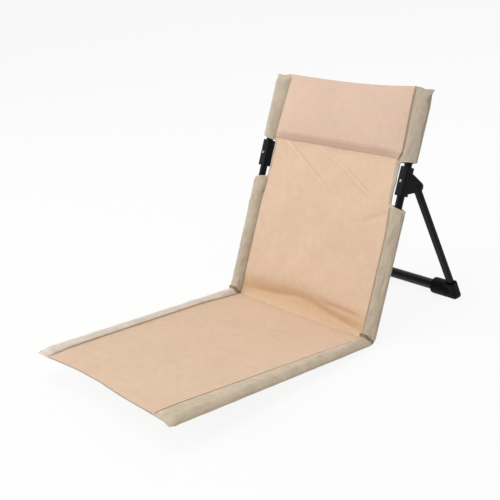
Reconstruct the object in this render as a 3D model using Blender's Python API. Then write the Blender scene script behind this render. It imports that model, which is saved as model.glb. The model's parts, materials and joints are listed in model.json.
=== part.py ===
"""Folding beach chair: a legless ground chair with a canvas seat mat and a canvas back.

The seat and the back are each a canvas panel between two steel poles in sleeves. They are hinged at the floor
corner, where mitred knuckles stop the seat at its open angle. A stand with two struts, two feet and a cross
tube folds out from brackets on the back poles.

Metres, +Z up. The sitter faces -Y, X runs across, and left is -X as seen from the front. Each rail, back or
seat, has its own frame: x across, n towards the sitter and t along the pole from the corner point, where the
axes of a back pole and a seat pole meet.
"""
import math

import bmesh
import bpy
from mathutils import Matrix, Vector

MM = 0.001

# Open angles
BACK_ANGLE = math.radians(64.5)
SEAT_ANGLE = math.radians(6.0)
STAND_ANGLE = math.radians(20.0)

# Poles and their caps
POLE_SPACING = 420 * MM
POLE_DIAMETER = 16 * MM
POLE_WALL = 1 * MM
BACK_LENGTH = 501 * MM
SEAT_LENGTH = 492 * MM
CAP_HEAD = 3 * MM
CAP_PLUG = 18 * MM

# Clearances
FIT_GAP = 0.3 * MM
FOLD_GAP = 1 * MM
PIN_GAP = 0.08 * MM
MITRE_GAP = 0.15 * MM

# Sleeves
SLEEVE_WIDTH = 40 * MM
SLEEVE_EASE = 0.5 * MM
SLEEVE_WALL = 1 * MM
SLEEVE_TIP = 16 * MM
TIP_THICKNESS = 3 * MM
TIP_SLANT = 4 * MM

# Corner knuckles
KNUCKLE_REACH = 30 * MM
KNUCKLE_SPIGOT = 25 * MM
EAR_RADIUS = 4.4 * MM
TONGUE_WIDTH = 6.4 * MM
HINGE_PIN_DIAMETER = 4 * MM
PIN_HEAD = 1.2 * MM

# Stand brackets on the back poles
BRACKET_CENTRE = 331 * MM
BRACKET_LENGTH = 60 * MM
COLLAR_WALL = 2.5 * MM
COLLAR_EDGE = 0.8 * MM
CHEEK_THICKNESS = 2.8 * MM
LUG_REACH = 40 * MM
LUG_KNOB_RADIUS = 9.5 * MM
LUG_SLOPE_DROP = 12 * MM
LUG_UNDER_RISE = 7 * MM
PIVOT_DROP = 4 * MM
PIVOT_PIN_DIAMETER = 3.6 * MM
PIVOT_HEAD_RADIUS = 4.6 * MM
PIVOT_HEAD = 1.8 * MM
RIVET_RADIUS = 1.6 * MM
RIVET_HEAD_RADIUS = 2.9 * MM
RIVET_HEAD = 1.5 * MM

# Side cut-outs in the back, beside the brackets
CUTOUT_BELOW = 26 * MM
CUTOUT_ABOVE = 13 * MM
CUTOUT_INSET = 4 * MM

# Canvas
CANVAS = 3 * MM
SEAM_GAP = 0.4 * MM
CORNER_SAG = 5.5 * MM
POCKET_DEPTH = 17 * MM
POCKET_HEIGHT = 27 * MM
POCKET_TOP = 85 * MM
BACK_SAG = 6 * MM
TOP_DIP = 4 * MM
FRONT_DIP = 7 * MM
SEAT_SAG = 4 * MM
HEADREST_EDGE = 2.4 * MM
HEADREST_HEM = 6 * MM
HEADREST_CROWN = 8 * MM

# Rear stand
STRUT_WIDTH = 16 * MM
STRUT_THICKNESS = 10 * MM
STRUT_WALL = 1 * MM
STRUT_CORNER = 2.5 * MM
STRUT_TAIL = 9 * MM
CROSS_TUBE_DIAMETER = 23 * MM
CROSS_TUBE_WALL = 1 * MM
FOOT_WALL = 6.6 * MM
FOOT_SOLE_CUT = 1.2 * MM
FOOT_INNER = 40 * MM
FOOT_TAPER = 5 * MM
SOCKET_RISE = 6 * MM
SOCKET_WALL = 2 * MM
SOCKET_MOUTH = 2 * MM
SOCKET_MOUTH_DEPTH = 5 * MM
SOCKET_FLARE = 2 * MM
SOCKET_ROUND = 6 * MM
STRUT_SEAT = 4 * MM

# Sizes that follow from the ones above
POLE_X = POLE_SPACING / 2
POLE_RADIUS = POLE_DIAMETER / 2
POLE_BORE = POLE_RADIUS - POLE_WALL
CHANNEL_HALF = POLE_RADIUS + SLEEVE_EASE
SLEEVE_HALF_THICKNESS = CHANNEL_HALF + SLEEVE_WALL
SLEEVE_HALF_WIDTH = SLEEVE_WIDTH / 2
PANEL_HALF = POLE_X - SLEEVE_HALF_WIDTH - SEAM_GAP
HINGE_OFFSET = SLEEVE_HALF_THICKNESS + FOLD_GAP
OPEN_ANGLE = math.pi - BACK_ANGLE - SEAT_ANGLE
MITRE_SLOPE = 1 / math.tan(OPEN_ANGLE / 2)
CORNER_REACH = HINGE_OFFSET * MITRE_SLOPE
EAR_OUTER = POLE_RADIUS
HEAD_SPAN = EAR_OUTER + FIT_GAP + PIN_HEAD
COLLAR_HALF = POLE_RADIUS + FIT_GAP + COLLAR_WALL
BRACKET_LOW = BRACKET_CENTRE - BRACKET_LENGTH / 2
BRACKET_HIGH = BRACKET_CENTRE + BRACKET_LENGTH / 2
LOWER_SLEEVE_TOP = BRACKET_LOW - CUTOUT_BELOW
UPPER_SLEEVE_BASE = BRACKET_HIGH + CUTOUT_ABOVE
FORK_INNER = STRUT_WIDTH / 2 + FIT_GAP
FORK_OUTER = FORK_INNER + CHEEK_THICKNESS
PIVOT_T = BRACKET_CENTRE - PIVOT_DROP
STAND_SWING = math.pi / 2 - BACK_ANGLE + STAND_ANGLE
CROSS_RADIUS = CROSS_TUBE_DIAMETER / 2
FOOT_RADIUS = CROSS_RADIUS + FIT_GAP + FOOT_WALL
FOOT_HEIGHT = FOOT_RADIUS - FOOT_SOLE_CUT
SOCKET_HALF_X = STRUT_WIDTH / 2 + FIT_GAP + SOCKET_MOUTH + SOCKET_WALL
SOCKET_HALF_Y = STRUT_THICKNESS / 2 + FIT_GAP + SOCKET_MOUTH + SOCKET_WALL
CROSS_END = POLE_X - SOCKET_HALF_X
FOOT_OUTER_X = POLE_X + SOCKET_HALF_X + SOCKET_FLARE
FOOT_INNER_X = CROSS_END - FOOT_INNER
BACK_TOP = BACK_LENGTH + SLEEVE_TIP
SEAT_FRONT = SEAT_LENGTH + SLEEVE_TIP

# Vertex counts round the sections
SECTION = 16
ROUND = 20

SIDES = (("left", -1), ("right", 1))


def mitre(n):
    """Return t on the plane that halves the corner, through the hinge axis and the corner point."""
    return n * MITRE_SLOPE


def back_direction():
    """Return the unit vectors along the back poles and towards the sitter."""
    along = Vector((0, math.cos(BACK_ANGLE), math.sin(BACK_ANGLE)))
    facing = Vector((0, -math.sin(BACK_ANGLE), math.cos(BACK_ANGLE)))
    return along, facing


def corner_height():
    """Return how far the corner point stands above the floor, so that the sleeve corners rest on it."""
    lowest = -SLEEVE_HALF_THICKNESS
    start = mitre(lowest) + MITRE_GAP
    back = start * math.sin(BACK_ANGLE) + lowest * math.cos(BACK_ANGLE)
    seat = start * math.sin(SEAT_ANGLE) + lowest * math.cos(SEAT_ANGLE)
    return -min(back, seat)


def stand_layout():
    """Return the stand's pivot and foot axis, measured from the corner point, and the strut length."""
    along, facing = back_direction()
    pivot = along * PIVOT_T - facing * LUG_REACH
    drop = pivot.z + corner_height() - FOOT_HEIGHT
    length = drop / math.cos(STAND_ANGLE)
    foot = pivot + Vector((0, drop * math.tan(STAND_ANGLE), -drop))
    return pivot, foot, length


PIVOT_OFFSET, FOOT_OFFSET, STRUT_LENGTH = stand_layout()
FRONT_EXTENT = (SEAT_FRONT + TIP_SLANT) * math.cos(SEAT_ANGLE) + TIP_THICKNESS / 2 * math.sin(SEAT_ANGLE)
REAR_EXTENT = FOOT_OFFSET.y + FOOT_RADIUS
CORNER_POINT = Vector((0, (FRONT_EXTENT - REAR_EXTENT) / 2, corner_height()))


def finish(name, colour, roughness, metallic=0.0):
    """Return a plain material."""
    material = bpy.data.materials.new(name)
    material.use_nodes = True
    shader = material.node_tree.nodes["Principled BSDF"]
    shader.inputs["Base Color"].default_value = (*colour, 1.0)
    shader.inputs["Roughness"].default_value = roughness
    shader.inputs["Metallic"].default_value = metallic
    material.diffuse_color = (*colour, 1.0)
    return material


def joint_empty(name, location, turn):
    """Return an empty on a joint axis, turned about X."""
    empty = bpy.data.objects.new(name, None)
    empty.empty_display_size = 30 * MM
    bpy.context.scene.collection.objects.link(empty)
    empty.rotation_euler = (turn, 0, 0)
    empty.location = location
    return empty


class Rail:
    """A pair of poles with their own frame: x across, n towards the sitter, t along the poles."""

    def __init__(self, name, turn, sitter):
        along, facing = back_direction()
        axis = CORNER_POINT + facing * HINGE_OFFSET + along * CORNER_REACH
        self.empty = joint_empty(name, axis, turn)
        self.sitter = sitter

    def point(self, x, n, t):
        """Return a point of the rail in the frame of its empty."""
        return Vector((x, self.sitter * (n - HINGE_OFFSET), t - CORNER_REACH))


class Stand:
    """The stand's frame: its empty is on the pivot axis, with -Z along the struts."""

    def __init__(self):
        self.empty = joint_empty("rear_stand_pivot", CORNER_POINT + PIVOT_OFFSET, STAND_ANGLE)
        self.level = Matrix.Translation((0, 0, -STRUT_LENGTH)) @ Matrix.Rotation(-STAND_ANGLE, 4, "X")

    def point(self, x, y, z):
        """Return a point in the strut's frame."""
        return Vector((x, y, z))

    def floor_point(self, x, y, z):
        """Return a point that is given level with the floor, from the middle of the cross tube."""
        return self.level @ Vector((x, y, z))


def angles(count):
    """Return equal steps round a circle."""
    return [2 * math.pi * k / count for k in range(count)]


def power(value, exponent):
    """Return a signed power, for rounded-square sections."""
    return math.copysign(abs(value) ** exponent, value)


def circle(radius, count=ROUND):
    """Return a round section."""
    return [(radius * math.cos(a), radius * math.sin(a)) for a in angles(count)]


def oval(half_a, half_b, count=SECTION):
    """Return an elliptical section."""
    return [(half_a * math.cos(a), half_b * math.sin(a)) for a in angles(count)]


def rounded_square(half_a, half_b, count=SECTION):
    """Return a square section with rounded corners."""
    return [(half_a * power(math.cos(a), 1 / 3), half_b * power(math.sin(a), 1 / 3)) for a in angles(count)]


def flat_tube(half_a, half_b, radius, steps=4):
    """Return a flat-tube section: a box with an arc of the radius at each corner."""
    section = []
    for corner, (side_a, side_b) in enumerate(((1, 1), (-1, 1), (-1, -1), (1, -1))):
        for k in range(steps + 1):
            a = (corner + k / steps) * math.pi / 2
            section.append((side_a * (half_a - radius) + radius * math.cos(a),
                            side_b * (half_b - radius) + radius * math.sin(a)))
    return section


def loft(rings, wrap=False):
    """Return points and faces through equal rings, with both ends closed or the last joined to the first."""
    count = len(rings[0])
    points = [point for ring in rings for point in ring]
    spans = len(rings) if wrap else len(rings) - 1
    faces = []
    for row in range(spans):
        here = row * count
        there = (row + 1) % len(rings) * count
        for k in range(count):
            after = (k + 1) % count
            faces.append((here + k, here + after, there + after, there + k))
    if not wrap:
        last = (len(rings) - 1) * count
        faces.append(tuple(range(count)))
        faces.append(tuple(range(last, last + count)))
    return points, faces


def ring_along(place, centre_x, section, height):
    """Return a section across x and the second axis; height is a number or a function of the point."""
    ring = []
    for a, b in section:
        level = height(a, b) if callable(height) else height
        ring.append(place(centre_x + a, b, level))
    return ring


def turned(place, centre_x, profile, centre=0.0):
    """Return a body turned about an axis along t, from (radius, t) steps."""
    rings = []
    for radius, level in profile:
        rings.append([place(centre_x + a, centre + b, level) for a, b in circle(radius)])
    return loft(rings)


def turned_across(place, centre, profile):
    """Return a body turned about an axis along x through centre, from (radius, x) steps."""
    rings = []
    for radius, x in profile:
        rings.append([place(x, centre[0] + a, centre[1] + b) for a, b in circle(radius)])
    return loft(rings)


def prism_across(place, outline, x_low, x_high):
    """Return an outline in the n, t plane pulled across x."""
    return loft([[place(x, n, t) for n, t in outline] for x in (x_low, x_high)])


def between(place, columns, rows, front, back):
    """Return the closed body between two surfaces over one grid, u from -1 to 1 and v over the rows."""
    width = columns + 1
    points = []
    for surface in (front, back):
        for v in rows:
            points += [place(*surface(2 * k / columns - 1, v)) for k in range(width)]
    layer = width * len(rows)
    faces = []
    for base in (0, layer):
        for row in range(len(rows) - 1):
            for k in range(columns):
                corner = base + row * width + k
                faces.append((corner, corner + 1, corner + width + 1, corner + width))
    top = (len(rows) - 1) * width
    rim = list(range(columns)) + [row * width + columns for row in range(len(rows) - 1)]
    rim += [top + k for k in range(columns, 0, -1)] + [row * width for row in range(len(rows) - 1, 0, -1)]
    for here, there in zip(rim, rim[1:] + rim[:1]):
        faces.append((here, there, there + layer, here + layer))
    return points, faces


def add_body(name, shells, parent, material=None, smooth=True):
    """Add one mesh object from closed shells. One without a material is a hidden cutter."""
    mesh = bpy.data.meshes.new(name)
    work = bmesh.new()
    for points, faces in shells:
        corners = [work.verts.new(point) for point in points]
        for face in faces:
            work.faces.new([corners[k] for k in face])
    bmesh.ops.recalc_face_normals(work, faces=work.faces)
    work.to_mesh(mesh)
    work.free()
    body = bpy.data.objects.new(name, mesh)
    bpy.context.scene.collection.objects.link(body)
    body.parent = parent
    if material is None:
        body.hide_render = True
        body.display_type = "WIRE"
        return body
    mesh.materials.append(material)
    if smooth:
        mesh.shade_smooth()
        mesh.set_sharp_from_angle(angle=math.radians(40))
    return body


def combine(body, shells, operation):
    """Add a Boolean to a body with a hidden cutter made from the shells."""
    step = len(body.modifiers) + 1
    cutter = add_body(f"{body.name}_cutter_{step}", shells, body.parent)
    change = body.modifiers.new(f"{operation.lower()}_{step}", "BOOLEAN")
    change.operation = operation
    change.solver = "EXACT"
    change.object = cutter


def ease(value):
    """Return a smooth step from 0 to 1."""
    value = min(max(value, 0.0), 1.0)
    return value * value * (3 - 2 * value)


def mix(start, end, share):
    """Return the value a share of the way from start to end."""
    return start + (end - start) * share


def tangent_arc(start, end, centre, radius, steps=14):
    """Return the arc of a circle that joins the outer tangents from start and end, clockwise from the top."""
    first = Vector(centre) - Vector(start)
    last = Vector(centre) - Vector(end)
    begin = math.atan2(first.y, first.x) + math.asin(radius / first.length) + math.pi / 2
    stop = math.atan2(last.y, last.x) - math.asin(radius / last.length) - math.pi / 2
    arc = []
    for k in range(steps + 1):
        a = mix(begin, stop, k / steps)
        arc.append((centre[0] + radius * math.cos(a), centre[1] + radius * math.sin(a)))
    return arc


def hinge_bar(rail, pole_x, radius, half_width, offset=0.0):
    """Return a bar on the corner hinge axis."""
    middle = pole_x + offset
    profile = [(radius, middle - half_width), (radius, middle + half_width)]
    return turned_across(rail.point, (HINGE_OFFSET, CORNER_REACH), profile)


def add_pole(name, rail, pole_x, length, material, rivet_t=None):
    """Add a steel tube from its knuckle to its cap, with a rivet hole in its front wall if asked for."""
    ends = (KNUCKLE_REACH + FIT_GAP, length - CAP_HEAD - FIT_GAP)
    outer = [ring_along(rail.point, pole_x, circle(POLE_RADIUS), t) for t in ends]
    inner = [ring_along(rail.point, pole_x, circle(POLE_BORE), t) for t in reversed(ends)]
    body = add_body(name, [loft(outer + inner, wrap=True)], rail.empty, material)
    if rivet_t is not None:
        combine(body, [rivet_bar(rail, pole_x, RIVET_RADIUS + FIT_GAP, 0.0, COLLAR_HALF)], "DIFFERENCE")
    return body


def rivet_bar(rail, pole_x, radius, n_low, n_high):
    """Return a bar along n at the rivet's height."""
    rings = []
    for n in (n_low, n_high):
        rings.append([rail.point(pole_x + a, n, BRACKET_CENTRE + b) for a, b in circle(radius)])
    return loft(rings)


def add_cap(name, rail, pole_x, length, material):
    """Add a plug with a rounded head for the free end of a pole."""
    plug = POLE_BORE - FIT_GAP
    seat = length - CAP_HEAD
    profile = [
        (plug - 0.8 * MM, seat - CAP_PLUG),
        (plug, seat - CAP_PLUG + 1 * MM),
        (plug, seat),
        (POLE_RADIUS, seat),
        (POLE_RADIUS, length - CAP_HEAD / 2),
        (POLE_RADIUS * 0.7, length),
    ]
    return add_body(name, [turned(rail.point, pole_x, profile)], rail.empty, material)


def knuckle_block(rail, pole_x):
    """Return the block of a knuckle, mitred at the corner, with its spigot in the pole."""
    square = rounded_square(POLE_RADIUS, POLE_RADIUS)
    spigot = circle(POLE_BORE - FIT_GAP, SECTION)
    rings = [
        ring_along(rail.point, pole_x, square, lambda a, b: mitre(b) + MITRE_GAP),
        ring_along(rail.point, pole_x, square, KNUCKLE_REACH),
        ring_along(rail.point, pole_x, spigot, KNUCKLE_REACH),
        ring_along(rail.point, pole_x, spigot, KNUCKLE_REACH + KNUCKLE_SPIGOT),
    ]
    return loft(rings)


def add_back_knuckle(name, rail, pole_x, material):
    """Add the forked half of the corner hinge."""
    body = add_body(name, [knuckle_block(rail, pole_x)], rail.empty, material)
    inner = TONGUE_WIDTH / 2 + FIT_GAP
    half = (EAR_OUTER - inner) / 2
    offset = (EAR_OUTER + inner) / 2
    ears = [hinge_bar(rail, pole_x, EAR_RADIUS, half, side * offset) for side in (-1, 1)]
    combine(body, ears, "UNION")
    combine(body, [hinge_bar(rail, pole_x, EAR_RADIUS + FIT_GAP, inner)], "DIFFERENCE")
    hole = HINGE_PIN_DIAMETER / 2 + PIN_GAP
    combine(body, [hinge_bar(rail, pole_x, hole, EAR_OUTER + PIN_HEAD)], "DIFFERENCE")
    return body


def add_seat_knuckle(name, rail, pole_x, material):
    """Add the tongue half of the corner hinge, with room for the ears of the fork."""
    body = add_body(name, [knuckle_block(rail, pole_x)], rail.empty, material)
    tongue = TONGUE_WIDTH / 2
    half = (EAR_OUTER + FIT_GAP + PIN_HEAD - tongue) / 2
    offset = tongue + half
    room = [hinge_bar(rail, pole_x, EAR_RADIUS + FIT_GAP, half, side * offset) for side in (-1, 1)]
    combine(body, room, "DIFFERENCE")
    combine(body, [hinge_bar(rail, pole_x, EAR_RADIUS, tongue)], "UNION")
    hole = HINGE_PIN_DIAMETER / 2 + PIN_GAP
    combine(body, [hinge_bar(rail, pole_x, hole, EAR_OUTER + PIN_HEAD)], "DIFFERENCE")
    return body


def add_pin(name, place, parent, centre, middle_x, radius, head_radius, grip, head, material):
    """Add a pin along x with a domed head at each end, clear of the faces that it holds."""
    inner = grip + FIT_GAP / 2
    profile = [
        (head_radius * 0.55, middle_x - inner - head),
        (head_radius, middle_x - inner - head * 0.4),
        (head_radius, middle_x - inner),
        (radius, middle_x - inner),
        (radius, middle_x + inner),
        (head_radius, middle_x + inner),
        (head_radius, middle_x + inner + head * 0.4),
        (head_radius * 0.55, middle_x + inner + head),
    ]
    return add_body(name, [turned_across(place, centre, profile)], parent, material)


def sleeve_outer(rail, pole_x, height):
    """Return the outer section of a sleeve at a height along its pole."""
    return ring_along(rail.point, pole_x, oval(SLEEVE_HALF_WIDTH, SLEEVE_HALF_THICKNESS), height)


def sleeve_channel(rail, pole_x, height):
    """Return the section of the tunnel in a sleeve."""
    return ring_along(rail.point, pole_x, rounded_square(CHANNEL_HALF, CHANNEL_HALF), height)


def add_sleeve(name, rail, pole_x, start, length, material, slant=0.0, corner=False):
    """Add a sleeve that is closed over a pole cap, with a flat sewn tip."""
    flat = oval(SLEEVE_HALF_WIDTH, TIP_THICKNESS / 2)
    tip = length + SLEEVE_TIP
    rings = [
        ring_along(rail.point, pole_x, flat, lambda a, b: tip + slant * a / SLEEVE_HALF_WIDTH),
        sleeve_outer(rail, pole_x, length + FIT_GAP + SLEEVE_WALL),
        sleeve_outer(rail, pole_x, start),
        sleeve_channel(rail, pole_x, start),
        sleeve_channel(rail, pole_x, length + FIT_GAP),
    ]
    body = add_body(name, [loft(rings)], rail.empty, material)
    if corner:
        notch_sleeve(body, rail, pole_x)
    return body


def add_open_sleeve(name, rail, pole_x, start, end, material):
    """Add a sleeve that is open at both ends and notched round the corner hinge."""
    rings = [
        sleeve_outer(rail, pole_x, start),
        sleeve_outer(rail, pole_x, end),
        sleeve_channel(rail, pole_x, end),
        sleeve_channel(rail, pole_x, start),
    ]
    body = add_body(name, [loft(rings, wrap=True)], rail.empty, material)
    notch_sleeve(body, rail, pole_x)
    return body


def notch_sleeve(body, rail, pole_x):
    """Cut room in a sleeve for the ears and the pin of the corner hinge."""
    room = hinge_bar(rail, pole_x, EAR_RADIUS + 2 * FIT_GAP, HEAD_SPAN + 2 * FIT_GAP)
    combine(body, [room], "DIFFERENCE")


def lug_outline():
    """Return the side outline of a bracket's lug: collar top, slope, round knob and underside."""
    knob = (LUG_REACH, PIVOT_T)
    top = (COLLAR_HALF * 0.95, BRACKET_HIGH - LUG_SLOPE_DROP)
    under = (COLLAR_HALF * 0.95, BRACKET_LOW + LUG_UNDER_RISE)
    rear = [(0.0, under[1]), (0.0, top[1]), top] + tangent_arc(top, under, knob, LUG_KNOB_RADIUS) + [under]
    return [(-r, t) for r, t in rear]


def fork_slot():
    """Return the side outline of the strut's slot; its sloped wall stops the stand when it is open."""
    half = STRUT_THICKNESS / 2 + FIT_GAP
    swing = STAND_SWING
    far = LUG_REACH + BRACKET_LENGTH
    meet = half * math.tan(swing / 2)
    reach = STRUT_TAIL + 2 * FIT_GAP
    wall = []
    for step in (meet, reach):
        r = -half * math.cos(swing) - step * math.sin(swing)
        t = -half * math.sin(swing) + step * math.cos(swing)
        wall.append((r, t))
    rear = [(-half, -far)] + wall + [(wall[1][0], far), (far, far), (far, -far)]
    return [(-LUG_REACH - r, PIVOT_T + t) for r, t in rear]


def add_bracket(name, rail, pole_x, material):
    """Add a collar round the back pole with a forked lug behind it."""
    edge = COLLAR_HALF - COLLAR_EDGE
    collar = [
        ring_along(rail.point, pole_x, rounded_square(edge, edge), BRACKET_LOW),
        ring_along(rail.point, pole_x, rounded_square(COLLAR_HALF, COLLAR_HALF), BRACKET_LOW + COLLAR_EDGE),
        ring_along(rail.point, pole_x, rounded_square(COLLAR_HALF, COLLAR_HALF), BRACKET_HIGH - COLLAR_EDGE),
        ring_along(rail.point, pole_x, rounded_square(edge, edge), BRACKET_HIGH),
    ]
    body = add_body(name, [loft(collar)], rail.empty, material)
    lug = prism_across(rail.point, lug_outline(), pole_x - FORK_OUTER, pole_x + FORK_OUTER)
    combine(body, [lug], "UNION")
    bore = [(POLE_RADIUS + FIT_GAP, BRACKET_LOW - 5 * MM), (POLE_RADIUS + FIT_GAP, BRACKET_HIGH + 5 * MM)]
    combine(body, [turned(rail.point, pole_x, bore)], "DIFFERENCE")
    slot = prism_across(rail.point, fork_slot(), pole_x - FORK_INNER, pole_x + FORK_INNER)
    combine(body, [slot], "DIFFERENCE")
    hole = PIVOT_PIN_DIAMETER / 2 + PIN_GAP
    pin = [(hole, pole_x - FORK_OUTER - 5 * MM), (hole, pole_x + FORK_OUTER + 5 * MM)]
    combine(body, [turned_across(rail.point, (-LUG_REACH, PIVOT_T), pin)], "DIFFERENCE")
    combine(body, [rivet_bar(rail, pole_x, RIVET_RADIUS + FIT_GAP, 0.0, COLLAR_HALF + 5 * MM)], "DIFFERENCE")
    return body


def add_rivet(name, rail, pole_x, material):
    """Add the rivet that holds a bracket to its pole, with its head on the front of the collar."""
    face = COLLAR_HALF + FIT_GAP / 3
    profile = [
        (RIVET_RADIUS, POLE_BORE - 1 * MM),
        (RIVET_RADIUS, face),
        (RIVET_HEAD_RADIUS, face),
        (RIVET_HEAD_RADIUS, face + RIVET_HEAD * 0.4),
        (RIVET_HEAD_RADIUS * 0.5, face + RIVET_HEAD),
    ]
    rings = []
    for radius, n in profile:
        rings.append([rail.point(pole_x + a, n, BRACKET_CENTRE + b) for a, b in circle(radius)])
    return add_body(name, [loft(rings)], rail.empty, material)


def corner_sag(u):
    """Return how far the canvas hangs below the pole plane along the corner."""
    return CORNER_SAG * (1 - u ** 4)


def back_depth(u, t):
    """Return how far the back canvas hangs behind the poles: a pocket at the corner, then a shallow sag."""
    if t < POCKET_HEIGHT:
        depth = mix(CORNER_SAG, POCKET_DEPTH, ease(t / POCKET_HEIGHT))
    elif t < POCKET_TOP:
        depth = mix(POCKET_DEPTH, BACK_SAG, ease((t - POCKET_HEIGHT) / (POCKET_TOP - POCKET_HEIGHT)))
    else:
        depth = BACK_SAG * (1 - ((t - POCKET_TOP) / (BACK_TOP - POCKET_TOP)) ** 2)
    return depth * (1 - u ** 4)


def back_half_width(t):
    """Return half the width of the back canvas, which is drawn in at the cut-outs."""
    fade = 6 * MM
    inside = ease((t - LOWER_SLEEVE_TOP) / fade + 0.5) * ease((UPPER_SLEEVE_BASE - t) / fade + 0.5)
    return PANEL_HALF - CUTOUT_INSET * inside


def back_surface(side):
    """Return one face of the back canvas; side is 1 for the front and -1 for the rear."""
    def surface(u, v):
        half = side * CANVAS / 2
        low = mitre(half - corner_sag(u)) + MITRE_GAP
        t = mix(low, BACK_TOP - TOP_DIP * (1 - u * u), v)
        return u * back_half_width(t), half - back_depth(u, max(t, 0.0) if v else 0.0), t
    return surface


def seat_surface(side):
    """Return one face of the seat canvas, level with its sleeves at the sides, with a hollow front."""
    def surface(u, v):
        half = side * CANVAS / 2
        low = mitre(half - corner_sag(u)) + MITRE_GAP
        t = mix(low, SEAT_FRONT - TIP_SLANT - FRONT_DIP * (1 - u * u), v)
        sag = mix(CORNER_SAG, SEAT_SAG, ease(4 * v)) * (1 - ease((v - 0.5) / 0.5))
        return u * PANEL_HALF, half - sag * (1 - u ** 4), t
    return surface


def headrest_surface(front):
    """Return one face of the headrest, a padded layer in front of the upper back canvas."""
    def surface(u, v):
        low = UPPER_SLEEVE_BASE + FIT_GAP
        t = mix(low, BACK_TOP - TOP_DIP * (1 - u * u), v)
        n = CANVAS / 2 + SEAM_GAP - back_depth(u, t)
        if front:
            hem = mix(HEADREST_EDGE, HEADREST_HEM, ease(v / 0.06)) * (1 - ease((v - 0.06) / 0.94) * 0.6)
            crown = HEADREST_CROWN * math.sin(math.pi * v) ** 0.8
            inside = (1 - u ** 6) if 0 < v < 1 else 0.0
            n += mix(HEADREST_EDGE, max(hem, crown), inside)
        return u * (PANEL_HALF - SEAM_GAP), n, t
    return surface


def rows_from_corner(count, bunching):
    """Return rows from 0 to 1, closer together at the corner."""
    return [(k / count) ** bunching for k in range(count + 1)]


def add_strut(name, stand, pole_x, material):
    """Add a flat-oval tube from the bracket to the foot, drilled for its pivot pin."""
    ends = (STRUT_TAIL, -STRUT_LENGTH - STRUT_SEAT)
    half_x = STRUT_WIDTH / 2
    half_y = STRUT_THICKNESS / 2
    shell = flat_tube(half_x, half_y, STRUT_CORNER)
    bore = flat_tube(half_x - STRUT_WALL, half_y - STRUT_WALL, STRUT_CORNER - STRUT_WALL)
    outer = [ring_along(stand.point, pole_x, shell, z) for z in ends]
    inner = [ring_along(stand.point, pole_x, bore, z) for z in reversed(ends)]
    body = add_body(name, [loft(outer + inner, wrap=True)], stand.empty, material)
    hole = PIVOT_PIN_DIAMETER / 2 + PIN_GAP
    drill = [(hole, pole_x - STRUT_WIDTH), (hole, pole_x + STRUT_WIDTH)]
    combine(body, [turned_across(stand.point, (0.0, 0.0), drill)], "DIFFERENCE")
    return body


def add_foot(name, stand, side, material):
    """Add a fitting that joins a strut to the cross tube: a collar and a flared socket with a flat sole."""
    middle = side * POLE_X
    collar = [
        (FOOT_RADIUS - 1.5 * MM, side * FOOT_INNER_X),
        (FOOT_RADIUS, side * (FOOT_INNER_X + 1.5 * MM)),
        (FOOT_RADIUS, side * CROSS_END),
        (FOOT_RADIUS - FOOT_TAPER, middle),
    ]
    body = add_body(name, [turned_across(stand.floor_point, (0.0, 0.0), collar)], stand.empty, material)
    top = FOOT_RADIUS + SOCKET_RISE - STRUT_LENGTH
    levels = [
        (stand.floor_point, -FOOT_HEIGHT - FOOT_SOLE_CUT, SOCKET_FLARE - SOCKET_ROUND),
        (stand.floor_point, -FOOT_HEIGHT + SOCKET_ROUND / 3, SOCKET_FLARE - SOCKET_ROUND / 4),
        (stand.floor_point, -FOOT_HEIGHT + SOCKET_ROUND, SOCKET_FLARE),
        (stand.point, top - 1 * MM, 0.0),
        (stand.point, top, -1 * MM),
    ]
    socket = []
    for place, level, growth in levels:
        section = rounded_square(SOCKET_HALF_X + growth, SOCKET_HALF_Y + growth)
        socket.append(ring_along(place, middle, section, level))
    combine(body, [loft(socket)], "UNION")
    bore = CROSS_RADIUS + FIT_GAP
    tube = [(bore, side * (FOOT_INNER_X - 5 * MM)), (bore, side * CROSS_END)]
    combine(body, [turned_across(stand.floor_point, (0.0, 0.0), tube)], "DIFFERENCE")
    for room, low in ((FIT_GAP, -STRUT_LENGTH - STRUT_SEAT - FIT_GAP),
                      (FIT_GAP + SOCKET_MOUTH, top - SOCKET_MOUTH_DEPTH)):
        slot = flat_tube(STRUT_WIDTH / 2 + room, STRUT_THICKNESS / 2 + room, STRUT_CORNER + room)
        rings = [ring_along(stand.point, middle, slot, z) for z in (low, top + 5 * MM)]
        combine(body, [loft(rings)], "DIFFERENCE")
    wide = 2 * FOOT_RADIUS
    sole = [(-wide, -FOOT_HEIGHT), (wide, -FOOT_HEIGHT), (wide, -wide), (-wide, -wide)]
    low_x = min(side * (FOOT_INNER_X - 5 * MM), side * (FOOT_OUTER_X + 5 * MM))
    high_x = max(side * (FOOT_INNER_X - 5 * MM), side * (FOOT_OUTER_X + 5 * MM))
    combine(body, [prism_across(stand.floor_point, sole, low_x, high_x)], "DIFFERENCE")
    return body


def add_cross_tube(name, stand, material):
    """Add the round tube between the two feet."""
    end = CROSS_END - FIT_GAP
    rings = []
    for radius, x in ((CROSS_RADIUS, -end), (CROSS_RADIUS, end)):
        rings.append([stand.floor_point(x, a, b) for a, b in circle(radius)])
    for x in (end, -end):
        rings.append([stand.floor_point(x, a, b) for a, b in circle(CROSS_RADIUS - CROSS_TUBE_WALL)])
    return add_body(name, [loft(rings, wrap=True)], stand.empty, material)


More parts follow.
